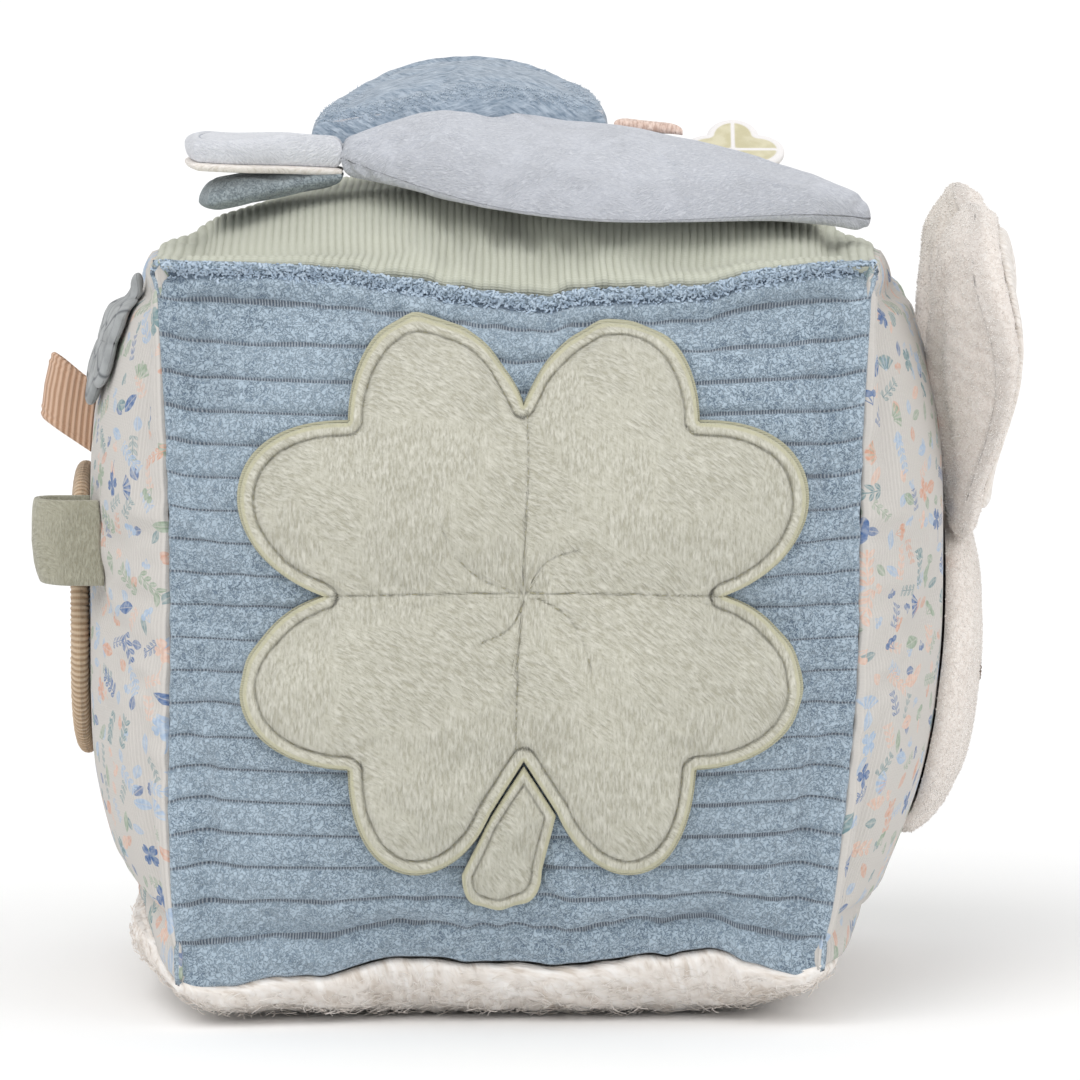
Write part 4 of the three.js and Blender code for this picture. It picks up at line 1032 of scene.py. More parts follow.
class Pad:
    """A sewn pad: rings from the middle of its underside out to its rim and back over its top.
    top and bottom are heights, or give one for a flat place and its distance from the rim; place puts
    it on the toy."""

    def __init__(self, outline, middle, top, bottom, place, around=240, rings=34):
        self.outline = outline
        self.middle = np.array(middle, float)
        self.top, self.bottom = (side if callable(side) else level(side) for side in (top, bottom))
        self.place = place
        self.around, self.rings = around, rings
        self.moves = None

    def grid(self, around, rings):
        """Places, flat places, distances from the rim and sides of a grid of rings."""
        outline = evenly(self.outline, around)
        shares = np.sin(np.linspace(0, np.pi / 2, rings + 1))
        flat = self.middle + shares[:, None, None] * (outline - self.middle)
        edge = inside_by(flat[..., 0], flat[..., 1], outline)
        edge[-1] = 0
        low = self.place(flat[..., 0], flat[..., 1], self.bottom(flat[..., 0], flat[..., 1], edge))
        high = self.place(flat[..., 0], flat[..., 1], self.top(flat[..., 0], flat[..., 1], edge))
        side = np.concatenate([np.zeros(edge.shape), np.ones(edge.shape)])
        side[rings] = 0.5
        both = [np.concatenate([a, b[::-1]]) for a, b in ((low, high), (flat, flat), (edge, edge))]
        return (*both, side)

    def pump(self, pressure, most, held, around=84, rings=12):
        """Pumps the pad up; held gives how firmly its seams hold it at a flat place and distance from the rim."""
        points, flat, edge, side = self.grid(around, rings)
        distinct, faces, back = welded(points, grid_faces(*points.shape[:2], joined_up=True))
        firm = np.zeros(len(distinct))
        np.maximum.at(firm, back, (held(flat[..., 0], flat[..., 1], edge) * np.ones_like(edge)).ravel())
        firm = np.maximum(firm, 0)
        np.maximum.at(firm, back, (1 - side).ravel())
        self.moves = swollen(distinct, faces, firm, pressure, most, 0.01)[back].reshape(points.shape)
        return self

    def on_top(self, x, y, lift=0.0):
        """Places on the pad's top side, lifted a little, that follow its pumping."""
        edge = inside_by(x, y, evenly(self.outline, self.around))
        place = self.place(x, y, self.top(x, y, edge) + lift)
        if self.moves is None:
            return place
        rings = self.moves.shape[0] // 2 - 1
        flat = self.grid(self.moves.shape[1], rings)[1]
        upper = flat[rings + 1:].reshape(-1, 2)
        moves = self.moves[rings + 1:].reshape(-1, 3)
        away = np.linalg.norm(np.stack([x, y], -1)[:, None] - upper[None], axis=-1)
        closest = np.argsort(away, axis=1)[:, :4]
        share = 1 / (np.take_along_axis(away, closest, 1) + 0.3) ** 2
        share /= share.sum(1, keepdims=True)
        return place + (moves[closest] * share[..., None]).sum(1)

    def piece(self, name, material, body, slot, node, fill=None, relief=None, **more):
        """The pad as a finished piece that stands for one CAD node."""
        return placed(name, self.mesh(name, relief, **more), material, body, [node])

    def mesh(self, name, relief=None, **more):
        """The pad's mesh; more gives further marks for a flat place, distance from the rim and side."""
        points, flat, edge, side = self.grid(self.around, self.rings)
        if self.moves is not None:
            rows = np.linspace(0, self.moves.shape[0] - 1, points.shape[0])
            columns = np.arange(self.around) / self.around * self.moves.shape[1]
            rows, columns = np.meshgrid(rows, columns, indexing="ij")
            points = points + between(self.moves, rows, columns, True)
        if relief is not None:
            out = normals_of(points, True)
            out[0] = out[0].mean(0)
            out[-1] = out[-1].mean(0)
            points = points + out * relief(flat[..., 0], flat[..., 1], edge, side)[..., None]
            points[0], points[-1] = points[0].mean(0), points[-1].mean(0)
        faces = grid_faces(*points.shape[:2], joined_up=True)
        side = side * np.ones_like(edge)
        marks = {"edge": edge, "side": side}
        for mark, given in more.items():
            marks[mark] = given(flat[..., 0], flat[..., 1], edge, side)
        return mesh_of(name, points, faces, marks, flat)


def line_mesh(name, runs):
    """Lines through points in millimetres."""
    points, edges = [], []
    for run in runs:
        start = len(points)
        points += (np.asarray(run) * MM).tolist()
        edges += [(start + i, start + i + 1) for i in range(len(run) - 1)]
    mesh = bpy.data.meshes.new(name)
    mesh.from_pydata(points, edges, [])
    return mesh


# The camera and the room

CAMERA_PLACE = (0.0051, -1.9495, 0.301)
CAMERA_DOWN = 5.94
CAMERA_LENS = 295
CAMERA_SENSOR = 36
FLOOR_HALF = 20
SKY = 0.76
LAMPS = (
    ("key lamp", (-0.45, -0.7, 1.0), 50, 1.15),
    ("fill lamp", (0.8, -0.6, 0.6), 70, 0.6),
)


def room():
    """The camera at the photograph's angle, a pale floor and soft studio light."""
    camera_data = bpy.data.cameras.new("camera")
    camera_data.lens = CAMERA_LENS
    camera_data.sensor_width = CAMERA_SENSOR
    camera = stood("camera", camera_data)
    camera.location = CAMERA_PLACE
    camera.rotation_euler = (math.radians(90 - CAMERA_DOWN), 0, 0)
    bpy.context.scene.camera = camera

    ground = bpy.data.meshes.new("floor")
    corners = [(x * FLOOR_HALF, y * FLOOR_HALF, 0) for x, y in ((-1, -1), (1, -1), (1, 1), (-1, 1))]
    ground.from_pydata(corners, [], [(0, 1, 2, 3)])
    floor = stood("floor", ground)
    pale = Finish("pale floor", rough=1.0, specular=0.0)
    pale.paint((250, 250, 250))
    floor.data.materials.append(pale.material)

    world = bpy.data.worlds.new("studio")
    bpy.context.scene.world = world
    world.use_nodes = True
    tree = world.node_tree
    sky = tree.nodes["Background"]
    sky.inputs["Color"].default_value = (1, 1, 1, 1)
    path = step(tree, "ShaderNodeLightPath")
    seen = path.most(also(path, "Is Glossy Ray")).most(also(path, "Is Transmission Ray"))
    feed(tree, sky.inputs["Strength"], seen.ramp(0, 1, SKY, 1.0))
    for name, place, spread, strength in LAMPS:
        data = bpy.data.lights.new(name, "SUN")
        data.angle = math.radians(spread)
        data.energy = strength
        lamp = stood(name, data)
        lamp.rotation_euler = Vector(place).to_track_quat("Z", "Y").to_euler()
    bpy.context.scene.view_settings.view_transform = "Standard"


room()

WALES = wale_tree()
PILE = pile_tree()
STITCHES = stitch_tree()
CURLS = curl_tree()

BLUE_PLUSH = plush("blue plush", (80, 97, 117), (148, 165, 179), (176, 192, 205), waled=True)
DARK_PLUSH = plush("dark plush", (88, 98, 106), (134, 145, 150), (160, 170, 175))
SAGE_RIB = ribbed("sage rib", (164, 166, 150), (188, 190, 175), (202, 204, 191), waled=True)
FELT = ribbed("sage felt", (160, 158, 132), (182, 180, 156), (196, 194, 172))
TAN_RIB = ribbed("tan rib", (160, 132, 104), (194, 170, 142), (210, 188, 162), pitch=1.4)
TERRACOTTA = ribbed("terracotta rib", (164, 128, 102), (200, 164, 138), (216, 184, 160), pitch=1.3, along=0)
PRINT = printed_cotton("printed cotton")
SHERPA = velour("sherpa", (212, 201, 190), (236, 229, 222), (246, 242, 238), 1.0, 0.4, 3.6)
CLOVER_VELOUR = velour("sage velour", (168, 165, 149), (189, 187, 173), (203, 201, 189), edged=(190, 187, 160))
LOOP_VELOUR = velour("sage loop velour", (150, 147, 128), (166, 163, 145), (178, 176, 158), 0.3, 0.0, 0.7)
CREAM_VELOUR = velour("cream velour", (224, 216, 207), (238, 231, 224), (245, 240, 235), 0.4, 1.3)
PALE_VELOUR = velour("pale velour", (186, 190, 199), (199, 202, 210), (209, 212, 219), 0.8, 1.2, 0.6)
# The bird's light velour again, made lighter for the tail: painted light.
TAIL_VELOUR = velour("tail velour", (204, 207, 214), (218, 220, 226), (226, 228, 233), 0.5, 1.2, 0.6)
WING_PLUSH = velour("wing plush", (112, 128, 145), (146, 160, 175), (172, 184, 197), 1.0, 0.9, 1.5)
CORAL = velour("coral velour", (190, 160, 146), (220, 194, 180), (234, 212, 200), 0.3)
CREAM_FLEECE = fleece("cream fleece", (213, 203, 195), (230, 222, 215), (240, 235, 230), 0.8, 0.06)
FILLING = fleece("fibre filling", (205, 202, 196), (232, 230, 225), (244, 243, 240), 0.2)
CURL = tufted("sherpa curls", (236, 228, 220), (246, 241, 236))
BLUE_TUFTS = tufted("blue tufts", (168, 186, 204), (190, 206, 221))
CREAM_TUFTS = tufted("cream tufts", (243, 236, 230), (250, 247, 243))
WING_TUFTS = tufted("wing tufts", (176, 190, 203), (196, 208, 219))
SAGE_THREAD = thread("sage thread", (158, 154, 130))
WHITE_THREAD = thread("white thread", (224, 220, 214))
GREY_THREAD = thread("grey thread", (176, 180, 190))
BROWN_THREAD = thread("brown thread", (120, 104, 92))
GREY_SATIN = printed_satin("grey satin", (88, 92, 96), (138, 141, 142), (160, 163, 164))
OLIVE_PATCH = printed_satin("olive patch", (232, 229, 228), (197, 190, 156), (212, 206, 178))
MIRROR = plastic("mirror film", (226, 230, 232), 0.08, metal=0.95)
CASE_PLASTIC = plastic("case plastic", (236, 236, 232), 0.35)
BEAD_PLASTIC = plastic("bead plastic", (140, 160, 182), 0.3)


# The panels and the filling


def panels():
    front = grown("front_plush", panel_mesh("front", 336, 252), WALES, BLUE_PLUSH, Wales=21.0, Depth=1.3,
                  Floor=0.09, Fullness=3.2, Clumps=0.4, Hem=HEM_DEEP + 0.6)
    placed("front_plush", front, BLUE_PLUSH, nodes=["front_panel"])
    dressed("hem_curls", front, CURLS, BLUE_TUFTS, slot="blue_plush", Density=3.4, Reach=0.9, Thick=0.25, Bent=2.0,
            Up=0.5, Seed=5)
    for face in ("top", "back"):
        cloth = grown(face + "_rib", panel_mesh(face, 560, 56), WALES, SAGE_RIB, Wales=93.0, Depth=0.36,
                      Floor=0.1, Fullness=2.0, Waver=0.5, Upright=1.0)
        placed(face + "_rib", cloth, SAGE_RIB, nodes=[face + "_panel"])
    for face in ("left", "right"):
        cloth = panel_mesh(face, 160, 160)
        placed(face + "_print", cloth, PRINT, nodes=[face + "_panel"])
    sole = panel_mesh("bottom", 160, 160)
    placed("bottom_sherpa", sole, SHERPA, nodes=["bottom_panel"])
    curls = dressed("bottom_curls", sole, CURLS, CURL, slot="sherpa", Density=0.7, Reach=4.2, Thick=0.09, Seed=3)
    for corner in curls.data.vertices:
        corner.co.z = max(corner.co.z, FLOOR_GAP * MM)


def filling():
    """Fibre above and below the rattle, in the form that the cover gives it."""
    for half in ("upper", "lower"):
        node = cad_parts["stuffing_" + half]
        shell = bmesh.new()
        shell.from_mesh(node.data)
        bmesh.ops.remove_doubles(shell, verts=shell.verts, dist=JOIN_WITHIN * MM)
        bmesh.ops.subdivide_edges(shell, edges=shell.edges, cuts=2, use_grid_fill=True)
        shell.normal_update()
        for corner in shell.verts:
            x, y, z = corner.co / MM
            corner.co -= corner.normal * MM * (FILLING_INSET + 0.5 * ripple(x * 0.2, y * 0.2, z * 0.2, seed=4))
            unit = np.clip((x / HALF, y / HALF, (z - MIDDLE) / HALF), -1, 1)
            corner.co += Vector(corrected(*unit) * MM)
        mesh = bpy.data.meshes.new("filling " + half)
        shell.to_mesh(mesh)
        shell.free()
        mesh.shade_smooth()
        placed("filling_" + half, mesh, FILLING, nodes=["stuffing_" + half])
    for node, material in (("rattle_case_upper", CASE_PLASTIC), ("rattle_case_lower", CASE_PLASTIC),
                           ("rattle_bead", BEAD_PLASTIC)):
        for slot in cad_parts[node].material_slots:
            slot.material = material


# The clover

CLOVER_ACROSS = 1.7
CLOVER_UP = 7.2
CORNER = 37.5
NOTCH = 43.0
LEAN = 8.0
LOBE = 67.0
STEM_NOTCH = 35.5
STEM_LENGTH = 35.0
STEM_SHOULDER = STEM_NOTCH + STEM_LENGTH * 0.33
STEM_TOP_HALF = 7.0
STEM_FOOT_HALF = 9.0
STEM_LEAN = 5.0
FELT_SHARE = 1.012
FACE_BASE = 2.0
CLOVER_STITCH_INSET = 2.7
STEM_STITCH_INSET = 2.2
VEINS = ((-17.5, 15.0), (12.0, 10.5), (-9.0, -9.5), (14.5, -15.5))


def on_clover(x, y, out):
    return on_face("front", CLOVER_ACROSS + x, CLOVER_UP + y, out)


def clover_outline():
    side = STEM_TOP_HALF + SEAT_GAP
    return traced(
        (0, -STEM_NOTCH),
        [(side, -STEM_SHOULDER)],
        [(side + LEAN, -LOBE), (CORNER, -LOBE), (CORNER, -CORNER)],
        [(LOBE, -CORNER), (LOBE, -LEAN), (NOTCH, 0)],
        [(LOBE, LEAN), (LOBE, CORNER), (CORNER, CORNER)],
        [(CORNER, LOBE), (LEAN, LOBE), (0, NOTCH)],
        [(-LEAN, LOBE), (-CORNER, LOBE), (-CORNER, CORNER)],
        [(-LOBE, CORNER), (-LOBE, LEAN), (-NOTCH, 0)],
        [(-LOBE, -LEAN), (-LOBE, -CORNER), (-CORNER, -CORNER)],
        [(-CORNER, -LOBE), (-side - LEAN, -LOBE), (-side, -STEM_SHOULDER)],
        [(0, -STEM_NOTCH)],
    )


def stem_outline():
    foot = STEM_NOTCH + STEM_LENGTH
    shoulder = STEM_SHOULDER + 0.6
    top = STEM_NOTCH + 1.2
    return traced(
        (0, -top),
        [(-STEM_TOP_HALF, -shoulder)],
        [(-STEM_LEAN - STEM_FOOT_HALF + SEAT_GAP, STEM_FOOT_HALF - foot)],
        [(-STEM_LEAN - STEM_FOOT_HALF, -foot), (-STEM_LEAN, -foot)],
        [(-STEM_LEAN + STEM_FOOT_HALF, -foot), (-STEM_LEAN + STEM_FOOT_HALF, STEM_FOOT_HALF - foot)],
        [(STEM_TOP_HALF, -shoulder)],
        [(0, -top)],
    )


def rolled_rim(edge, width, high):
    """The rounded rim of a patch outside its line of stitches."""
    share = np.clip(edge / width, 0, 1)
    return high * np.sqrt(np.maximum(0, 1 - (2 * share - 1) ** 2)) * (edge < width)


def seam_lines():
    """The clover's level and upright seams, which bend a little."""
    t = np.linspace(-NOTCH + 1, NOTCH - 1, 90)
    upright = np.stack([1.4 * np.sin(t / 24) - 0.4, t], -1)[t > -STEM_NOTCH + 1]
    crossing = np.stack([t, 1.1 * (1 - (t / NOTCH) ** 2)], -1)
    return upright, crossing


def near_lines(x, y, lines):
    """How far places lie from the nearest of some lines."""
    places = np.stack([x, y], -1)[..., None, :]
    return np.minimum.reduce([np.linalg.norm(places - line, axis=-1).min(-1) for line in lines])


def vein_lines():
    middle = np.array((0.6, 1.0))
    t = np.linspace(0.12, 1, 24)[:, None]
    lines = []
    for tip in VEINS:
        tip = np.array(tip, float)
        bend = np.array((-(tip - middle)[1], (tip - middle)[0])) * 0.16
        lines.append(middle + (tip - middle) * t + bend * np.sin(np.pi * t))
    return lines


def creases(x, y, edge, side=1.0):
    """1 in the sewn creases of the clover's face and 0 away from them; the velour also paints shade into them."""
    cross = near_lines(x, y, seam_lines())
    veins = near_lines(x, y, vein_lines())
    around = np.abs(edge - CLOVER_STITCH_INSET - 0.25 * ripple(x * 0.7, y * 0.7, seed=15))
    shares = [bell(away, wide) for away, wide in ((cross, 0.42), (veins, 0.36), (around, 0.36))]
    return np.maximum.reduce(shares) * (edge > 0.6) * side


def clover_height(x, y, edge):
    """The velour face's height: a rolled rim, a stitched crease, then full petals."""
    inner = np.maximum(0, edge - CLOVER_STITCH_INSET)
    full = 3.3 * (1 - np.exp(-inner / 8.0))
    cross = near_lines(x, y, seam_lines())
    full = full * (0.35 + 0.65 * smooth(cross, 0, 16))
    veins = near_lines(x, y, vein_lines())
    full = full - 0.45 * bell(veins, 1.6) * (inner > 0)
    rim = rolled_rim(edge, CLOVER_STITCH_INSET, 0.75)
    within = 0.75 * smooth(inner, 0, 1.3)
    fold = 0.26 * ripple(x * 0.22, y * 0.22, seed=11) * np.exp(-inner / 9) * (inner > 0)
    fold = fold + 0.3 * ripple(x * 0.6, y * 0.6, seed=13) * np.exp(-((edge - 1.0) ** 2) / 3) * smooth(edge, 0, 1)
    return np.maximum(0.3, 0.95 + rim + within + full + fold - 0.45 * creases(x, y, edge))


def clover():
    outline = clover_outline()
    cut = outline * FELT_SHARE
    felt = Pad(cut, (0, 0), 1.4, 0.5, on_clover, 320, 14)
    felt = felt.piece("clover_felt", FELT, "block", "sage_felt", "clover_backing")

    def held(x, y, edge):
        return np.maximum(smooth(-edge, -4.5, -2.7), creases(x, y, edge))

    face = Pad(outline, (0, 0), lambda x, y, e: FACE_BASE + clover_height(x, y, e), FACE_BASE, on_clover, 480, 84)
    face.pump(PAD_PRESSURE, 1.2, held, 120, 20)
    # The crease mark paints shade into the clover's sewn creases and along its line of stitches.
    face.piece("clover_velour", CLOVER_VELOUR, "block", "sage_velour", "clover_face", 0.4, crease=creases)

    def stem_crease(x, y, edge, side=1.0):
        return bell(edge - STEM_STITCH_INSET, 0.36) * side

    def stem_height(x, y, edge):
        inner = np.maximum(0, edge - STEM_STITCH_INSET)
        rise = 1.9 * (1 - np.exp(-inner / 2.5)) + rolled_rim(edge, STEM_STITCH_INSET, 0.7)
        return 2.2 + rise - 0.45 * stem_crease(x, y, edge)

    stem_line = stem_outline()
    middle = (-STEM_LEAN / 2, -(STEM_SHOULDER + STEM_NOTCH + STEM_LENGTH) / 2)
    stem = Pad(stem_line, middle, stem_height, 0.6, on_clover, 200, 34)
    # The crease mark paints shade along the stem's line of stitches.
    stem.piece("clover_stem_velour", CLOVER_VELOUR, "block", "sage_velour", "clover_stem", 0.4, crease=stem_crease)

    rows = [face.on_top(*inset(outline, CLOVER_STITCH_INSET, 500).T, 0.02)]
    rows += [face.on_top(*line.T, 0.02) for line in seam_lines()]
    rows += [face.on_top(*line.T, 0.06) for line in vein_lines()]
    line = inset(stem_line, STEM_STITCH_INSET, 200).T
    rows.append(on_clover(*line, stem_height(*line, inside_by(*line, stem_line))))
    stitched("clover_stitches", rows, SAGE_THREAD, 2.1, 1.5, 0.34, slot="sage_velour")


def area_of(line):
    """The area inside a closed outline, less than 0 where it runs clockwise."""
    ahead = np.roll(line, -1, 0)
    return float((line[:, 0] * ahead[:, 1] - line[:, 1] * ahead[:, 0]).sum()) / 2


def inset(line, by, count):
    """The line of stitches inside an outline."""
    line = evenly(line, count)
    run = np.roll(line, -1, 0) - np.roll(line, 1, 0)
    run /= np.maximum(np.linalg.norm(run, axis=1, keepdims=True), 1e-9)
    side = np.stack([-run[:, 1], run[:, 0]], -1)
    moved = line + by * (side if area_of(line) > 0 else -side)
    return moved[inside_by(moved[:, 0], moved[:, 1], line) > by * 0.93]


# The left side: the mirror, two loops and the flower

MIRROR_RADIUS = 33.0
RING_WIDE = 7.0
RING_THICK = 4.0
RING_RIBS = 150
RING_RIB_HIGH = 0.16
RING_STITCH_IN = 1.5
MIRROR_UP = -5.0
LOOP_SPAN = 12.0
LOOP_SEWN_IN = 0.9
LOOP_STEPS = 12
LOOP_ROUND = 96
FLOWER_PLACE = (36, 57)
FLOWER_RADIUS = 12.5


def on_left(x, y, out):
    return on_face("left", x, y, out)


def mirror():
    inner = MIRROR_RADIUS - RING_WIDE
    around = np.linspace(0, 2 * np.pi, 361)[:-1]
    section = np.linspace(0, 2 * np.pi, 25)[:-1]
    turn, part = np.meshgrid(around, section, indexing="ij")
    rib = RING_RIB_HIGH * np.cos(turn * RING_RIBS)
    across = (RING_WIDE / 2 + rib) * np.cos(part)
    out = RING_THICK / 2 + (RING_THICK / 2 + rib) * np.sign(np.sin(part)) * np.abs(np.sin(part)) ** 0.8
    reach = inner + RING_WIDE / 2 + across
    pinch = 0.5 * bell(reach - inner - RING_STITCH_IN, 0.9) * (np.sin(part) > 0)
    points = on_left(reach * np.cos(turn), reach * np.sin(turn) + MIRROR_UP, out - pinch + SEAT_GAP)
    grid = np.concatenate([points, points[:1]])
    far = np.concatenate([turn, turn[:1] + 2 * np.pi]) * MIRROR_RADIUS
    flat = np.stack([far, np.tile(part[:1] * 3, (len(far), 1))], -1)
    tube = mesh_of("mirror_ring", grid, grid_faces(*grid.shape[:2], joined_up=True), None, flat)
    placed("mirror_ring_rib", tube, TAN_RIB, nodes=["mirror_ring"])
    radius = inner - SEAT_GAP
    film = Pad(ring(120, radius, radius), (0, 0), lambda x, y, e: 1.5 + 0.12 * ripple(x * 0.09, y * 0.09, seed=2),
               0.3, lambda x, y, h: on_left(x, y + MIRROR_UP, h), 120, 24)
    film.piece("mirror_film_disc", MIRROR, "block", "mirror_film", "mirror_film")
    t = np.linspace(0, 2 * np.pi, 400)
    reach = inner + RING_STITCH_IN
    sewn = on_left(reach * np.cos(t), reach * np.sin(t) + MIRROR_UP, RING_THICK * 0.72 + SEAT_GAP)
    stitched("mirror_stitches", [sewn], WHITE_THREAD, 2.4, 1.8, 0.4, slot="tan_rib")


def ribbon_loop(name, material, node, wide, out, rise, across, up, thick, ribs):
    """A ribbon folded into a loop and sewn down by its two ends."""
    half = LOOP_SPAN / 2 - LOOP_SEWN_IN
    straight = np.linspace(0, out - LOOP_SPAN / 2, LOOP_STEPS)
    bend = np.linspace(0, np.pi, 2 * LOOP_STEPS + 1)[1:-1]
    path = np.concatenate([
        np.stack([np.full(LOOP_STEPS, -half), straight], -1),
        np.stack([-half * np.cos(bend), out - LOOP_SPAN / 2 + half * np.sin(bend)], -1),
        np.stack([np.full(LOOP_STEPS, half), straight[::-1]], -1),
    ])
    run = np.gradient(path, axis=0)
    run /= np.linalg.norm(run, axis=1, keepdims=True)
    side = np.stack([-run[:, 1], run[:, 0]], -1)
    turn = np.arange(LOOP_ROUND) / LOOP_ROUND * 2 * np.pi
    w = wide / 2 * np.sign(np.cos(turn)) * np.abs(np.cos(turn)) ** 0.25
    t = thick / 2 * np.sign(np.sin(turn)) * np.abs(np.sin(turn)) ** 0.5
    t = t + np.sign(np.sin(turn)) * 0.13 * (np.cos(w * 2 * np.pi / (wide / ribs)) if ribs else 0)
    x = path[:, None, 0] + side[:, None, 0] * t
    o = path[:, None, 1] + side[:, None, 1] * t
    h = np.broadcast_to(w, x.shape)
    points = on_left(across + x, up + h + rise * o / out, np.maximum(o, 0) + SEAT_GAP)
    far = np.cumsum(np.concatenate([[0], np.linalg.norm(np.diff(path, axis=0), axis=1)]))
    flat = np.stack([h, np.broadcast_to(far[:, None], x.shape)], -1)
    faces = grid_faces(*points.shape[:2], joined_up=True).tolist()
    last = (points.shape[0] - 1) * LOOP_ROUND
    faces += [list(range(LOOP_ROUND))[::-1], list(range(last, last + LOOP_ROUND))]
    mesh = mesh_of(name, points, faces, None, flat)
    ribbon = placed(name, mesh, material, nodes=[node])


def loops():
    ribbon_loop("terracotta_loop", TERRACOTTA, "ribbed_loop", wide=15, out=12, rise=8,
                across=12, up=MIRROR_UP + MIRROR_RADIUS + 11, thick=1.6, ribs=9)
    ribbon_loop("sage_loop", LOOP_VELOUR, "velour_loop", wide=19, out=13, rise=0,
                across=MIRROR_RADIUS + 9, up=MIRROR_UP + 19, thick=1.9, ribs=0)


def flower():
    outline = scalloped(FLOWER_RADIUS, 1.3, 6, 240)

    def top(x, y, edge):
        angle = np.arctan2(y, x)
        petal = 0.35 * np.abs(np.cos((angle + np.pi / 2) * 3)) ** 0.4 - 0.35
        contour = -0.3 * bell(edge - 2.2, 0.4)
        return 1.5 + 1.5 * rounded(edge, 3) + petal * (edge < 9) + contour

    def petals(x, y, edge, side=1.0):
        """0 on the darker contours of the petals and of the middle."""
        far, turn = np.hypot(x, y), np.arctan2(y, x)
        spoke = far * np.abs(np.sin((turn + np.pi / 2) * 3)) / 3
        lines = [np.abs(edge - 1.9), np.abs(far - 3.6), spoke + 9 * (far < 3.8)]
        return smooth(np.minimum.reduce(lines), 0.2, 0.5)

    pad = Pad(outline, (0, 0), top, lambda x, y, e: 1.5 - 1.4 * rounded(e, 3),
              lambda x, y, h: on_left(FLOWER_PLACE[0] + x, FLOWER_PLACE[1] + y, 0.6 + h), 240, 40)
    pad.piece("flower_satin", GREY_SATIN, "flower_patch", "grey_patch", "flower_patch", 0.2, petal=petals)


# The rabbit on the right side

HEAD_HALF_WIDE = 36.0
HEAD_HALF_HIGH = 37.0
HEAD_THICK = 8.5
HEAD_UP = -19.0
EAR_LENGTH = 74.5
EAR_MIDDLE = (0, EAR_LENGTH * 0.55)
EAR_PLACES = (0, 0.2, 0.45, 0.6, 0.75, 0.88, 0.95, 1)
EAR_RIM_IN = (0, 2.0, 4.0, 4.6, 4.4, 3.0, 1.5, 0)
EAR_BACK = (0, 1.0, 1.8, 2.0, 2.8, 3.3, 2.9, 0)
EAR_FRONT = (0, 0, 0, 0.3, 1.3, 1.8, 1.6, 0)
EAR_HALF_WIDE = 19.0
EAR_ROOT_HALF = 9.0
EAR_SHELL = 7.0
EAR_LINING = 3.5
EAR_LINING_SHARE = 0.84
EAR_CUP = 12.0
EAR_SPLAY = math.radians(22)
EAR_BELLY = 3.5
EAR_TIP_OUT = 1.5
FLEECE_TUFTS = {"Density": 2.2, "Tall": 0.5, "Wide": 0.1, "Long": 1.2, "Lean": 1.1}


def on_right(x, y, out):
    return on_face("right", x, y + HEAD_UP, out)


def rabbit_head():
    def top(x, y, edge):
        rim = 0.6 + 2.2 + (HEAD_THICK - 2.2) * rounded(edge, 30, 2.2)
        return rim + 0.4 * ripple(x * 0.09, y * 0.09, seed=21)

    pad = Pad(ring(300, HEAD_HALF_WIDE, HEAD_HALF_HIGH), (0, 0), top, 0.6, on_right, 300, 44)
    pad.pump(PAD_PRESSURE, 1.2, held_rim(0.5, 3.0))
    head = pad.mesh("rabbit_head_fleece", pile=lambda x, y, e, s: s)
    placed("rabbit_head_fleece", head, CREAM_FLEECE, nodes=["rabbit_head"])
    dressed("rabbit_head_pile", head, PILE, CREAM_TUFTS, slot="sherpa", Seed=11, **FLEECE_TUFTS)
    t = np.linspace(0, 1, 30)
    bow = np.sin(np.pi * t)
    lids = [(middle + 4.5 * (2 * t - 1), 2 - 3.0 * bow) for middle in (-13, 13)]
    nose, chin = (2.6 * (2 * t - 1), -7 - 1.8 * bow), (0 * t, -8.6 - 4.5 * t)
    rows = [pad.on_top(*line, 0.15) for line in (*lids, nose, chin)]
    stitched("rabbit_face_stitches", rows, BROWN_THREAD, 1.3, 1.5, 0.8, slot="sherpa")


def on_head(side):
    """Places flat ear millimetres: x across the ear, y along it from its root, and out from the block."""
    turn = side * EAR_SPLAY
    root_depth = (HEAD_HALF_WIDE + 2 * SEAT_GAP) * math.sin(turn)
    root_height = MIDDLE + HEAD_UP + (HEAD_HALF_HIGH + 2 * SEAT_GAP) * math.cos(turn)

    def place(x, along, out):
        share = along / EAR_LENGTH
        arch = np.sin(np.pi * np.clip(share, 0, 1))
        cupped = EAR_CUP * arch * (x / EAR_HALF_WIDE) ** 2
        bellied = -EAR_BELLY * arch**2 + EAR_TIP_OUT * share**2
        return np.stack([
            SIDE_REACH + 1 + out + cupped + bellied,
            root_depth + x * math.cos(turn) + along * math.sin(turn),
            root_height - x * math.sin(turn) + along * math.cos(turn),
        ], -1)

    return place


def ear_outline(share=1.0):
    wide = EAR_HALF_WIDE / 0.75
    outline = traced(
        (-EAR_ROOT_HALF, 0),
        [(EAR_ROOT_HALF, 0)],
        [(wide, EAR_LENGTH / 2), (wide, EAR_LENGTH), (0, EAR_LENGTH)],
        [(-wide, EAR_LENGTH), (-wide, EAR_LENGTH / 2), (-EAR_ROOT_HALF, 0)],
    )
    middle = np.array(EAR_MIDDLE)
    return middle + (outline - middle) * share


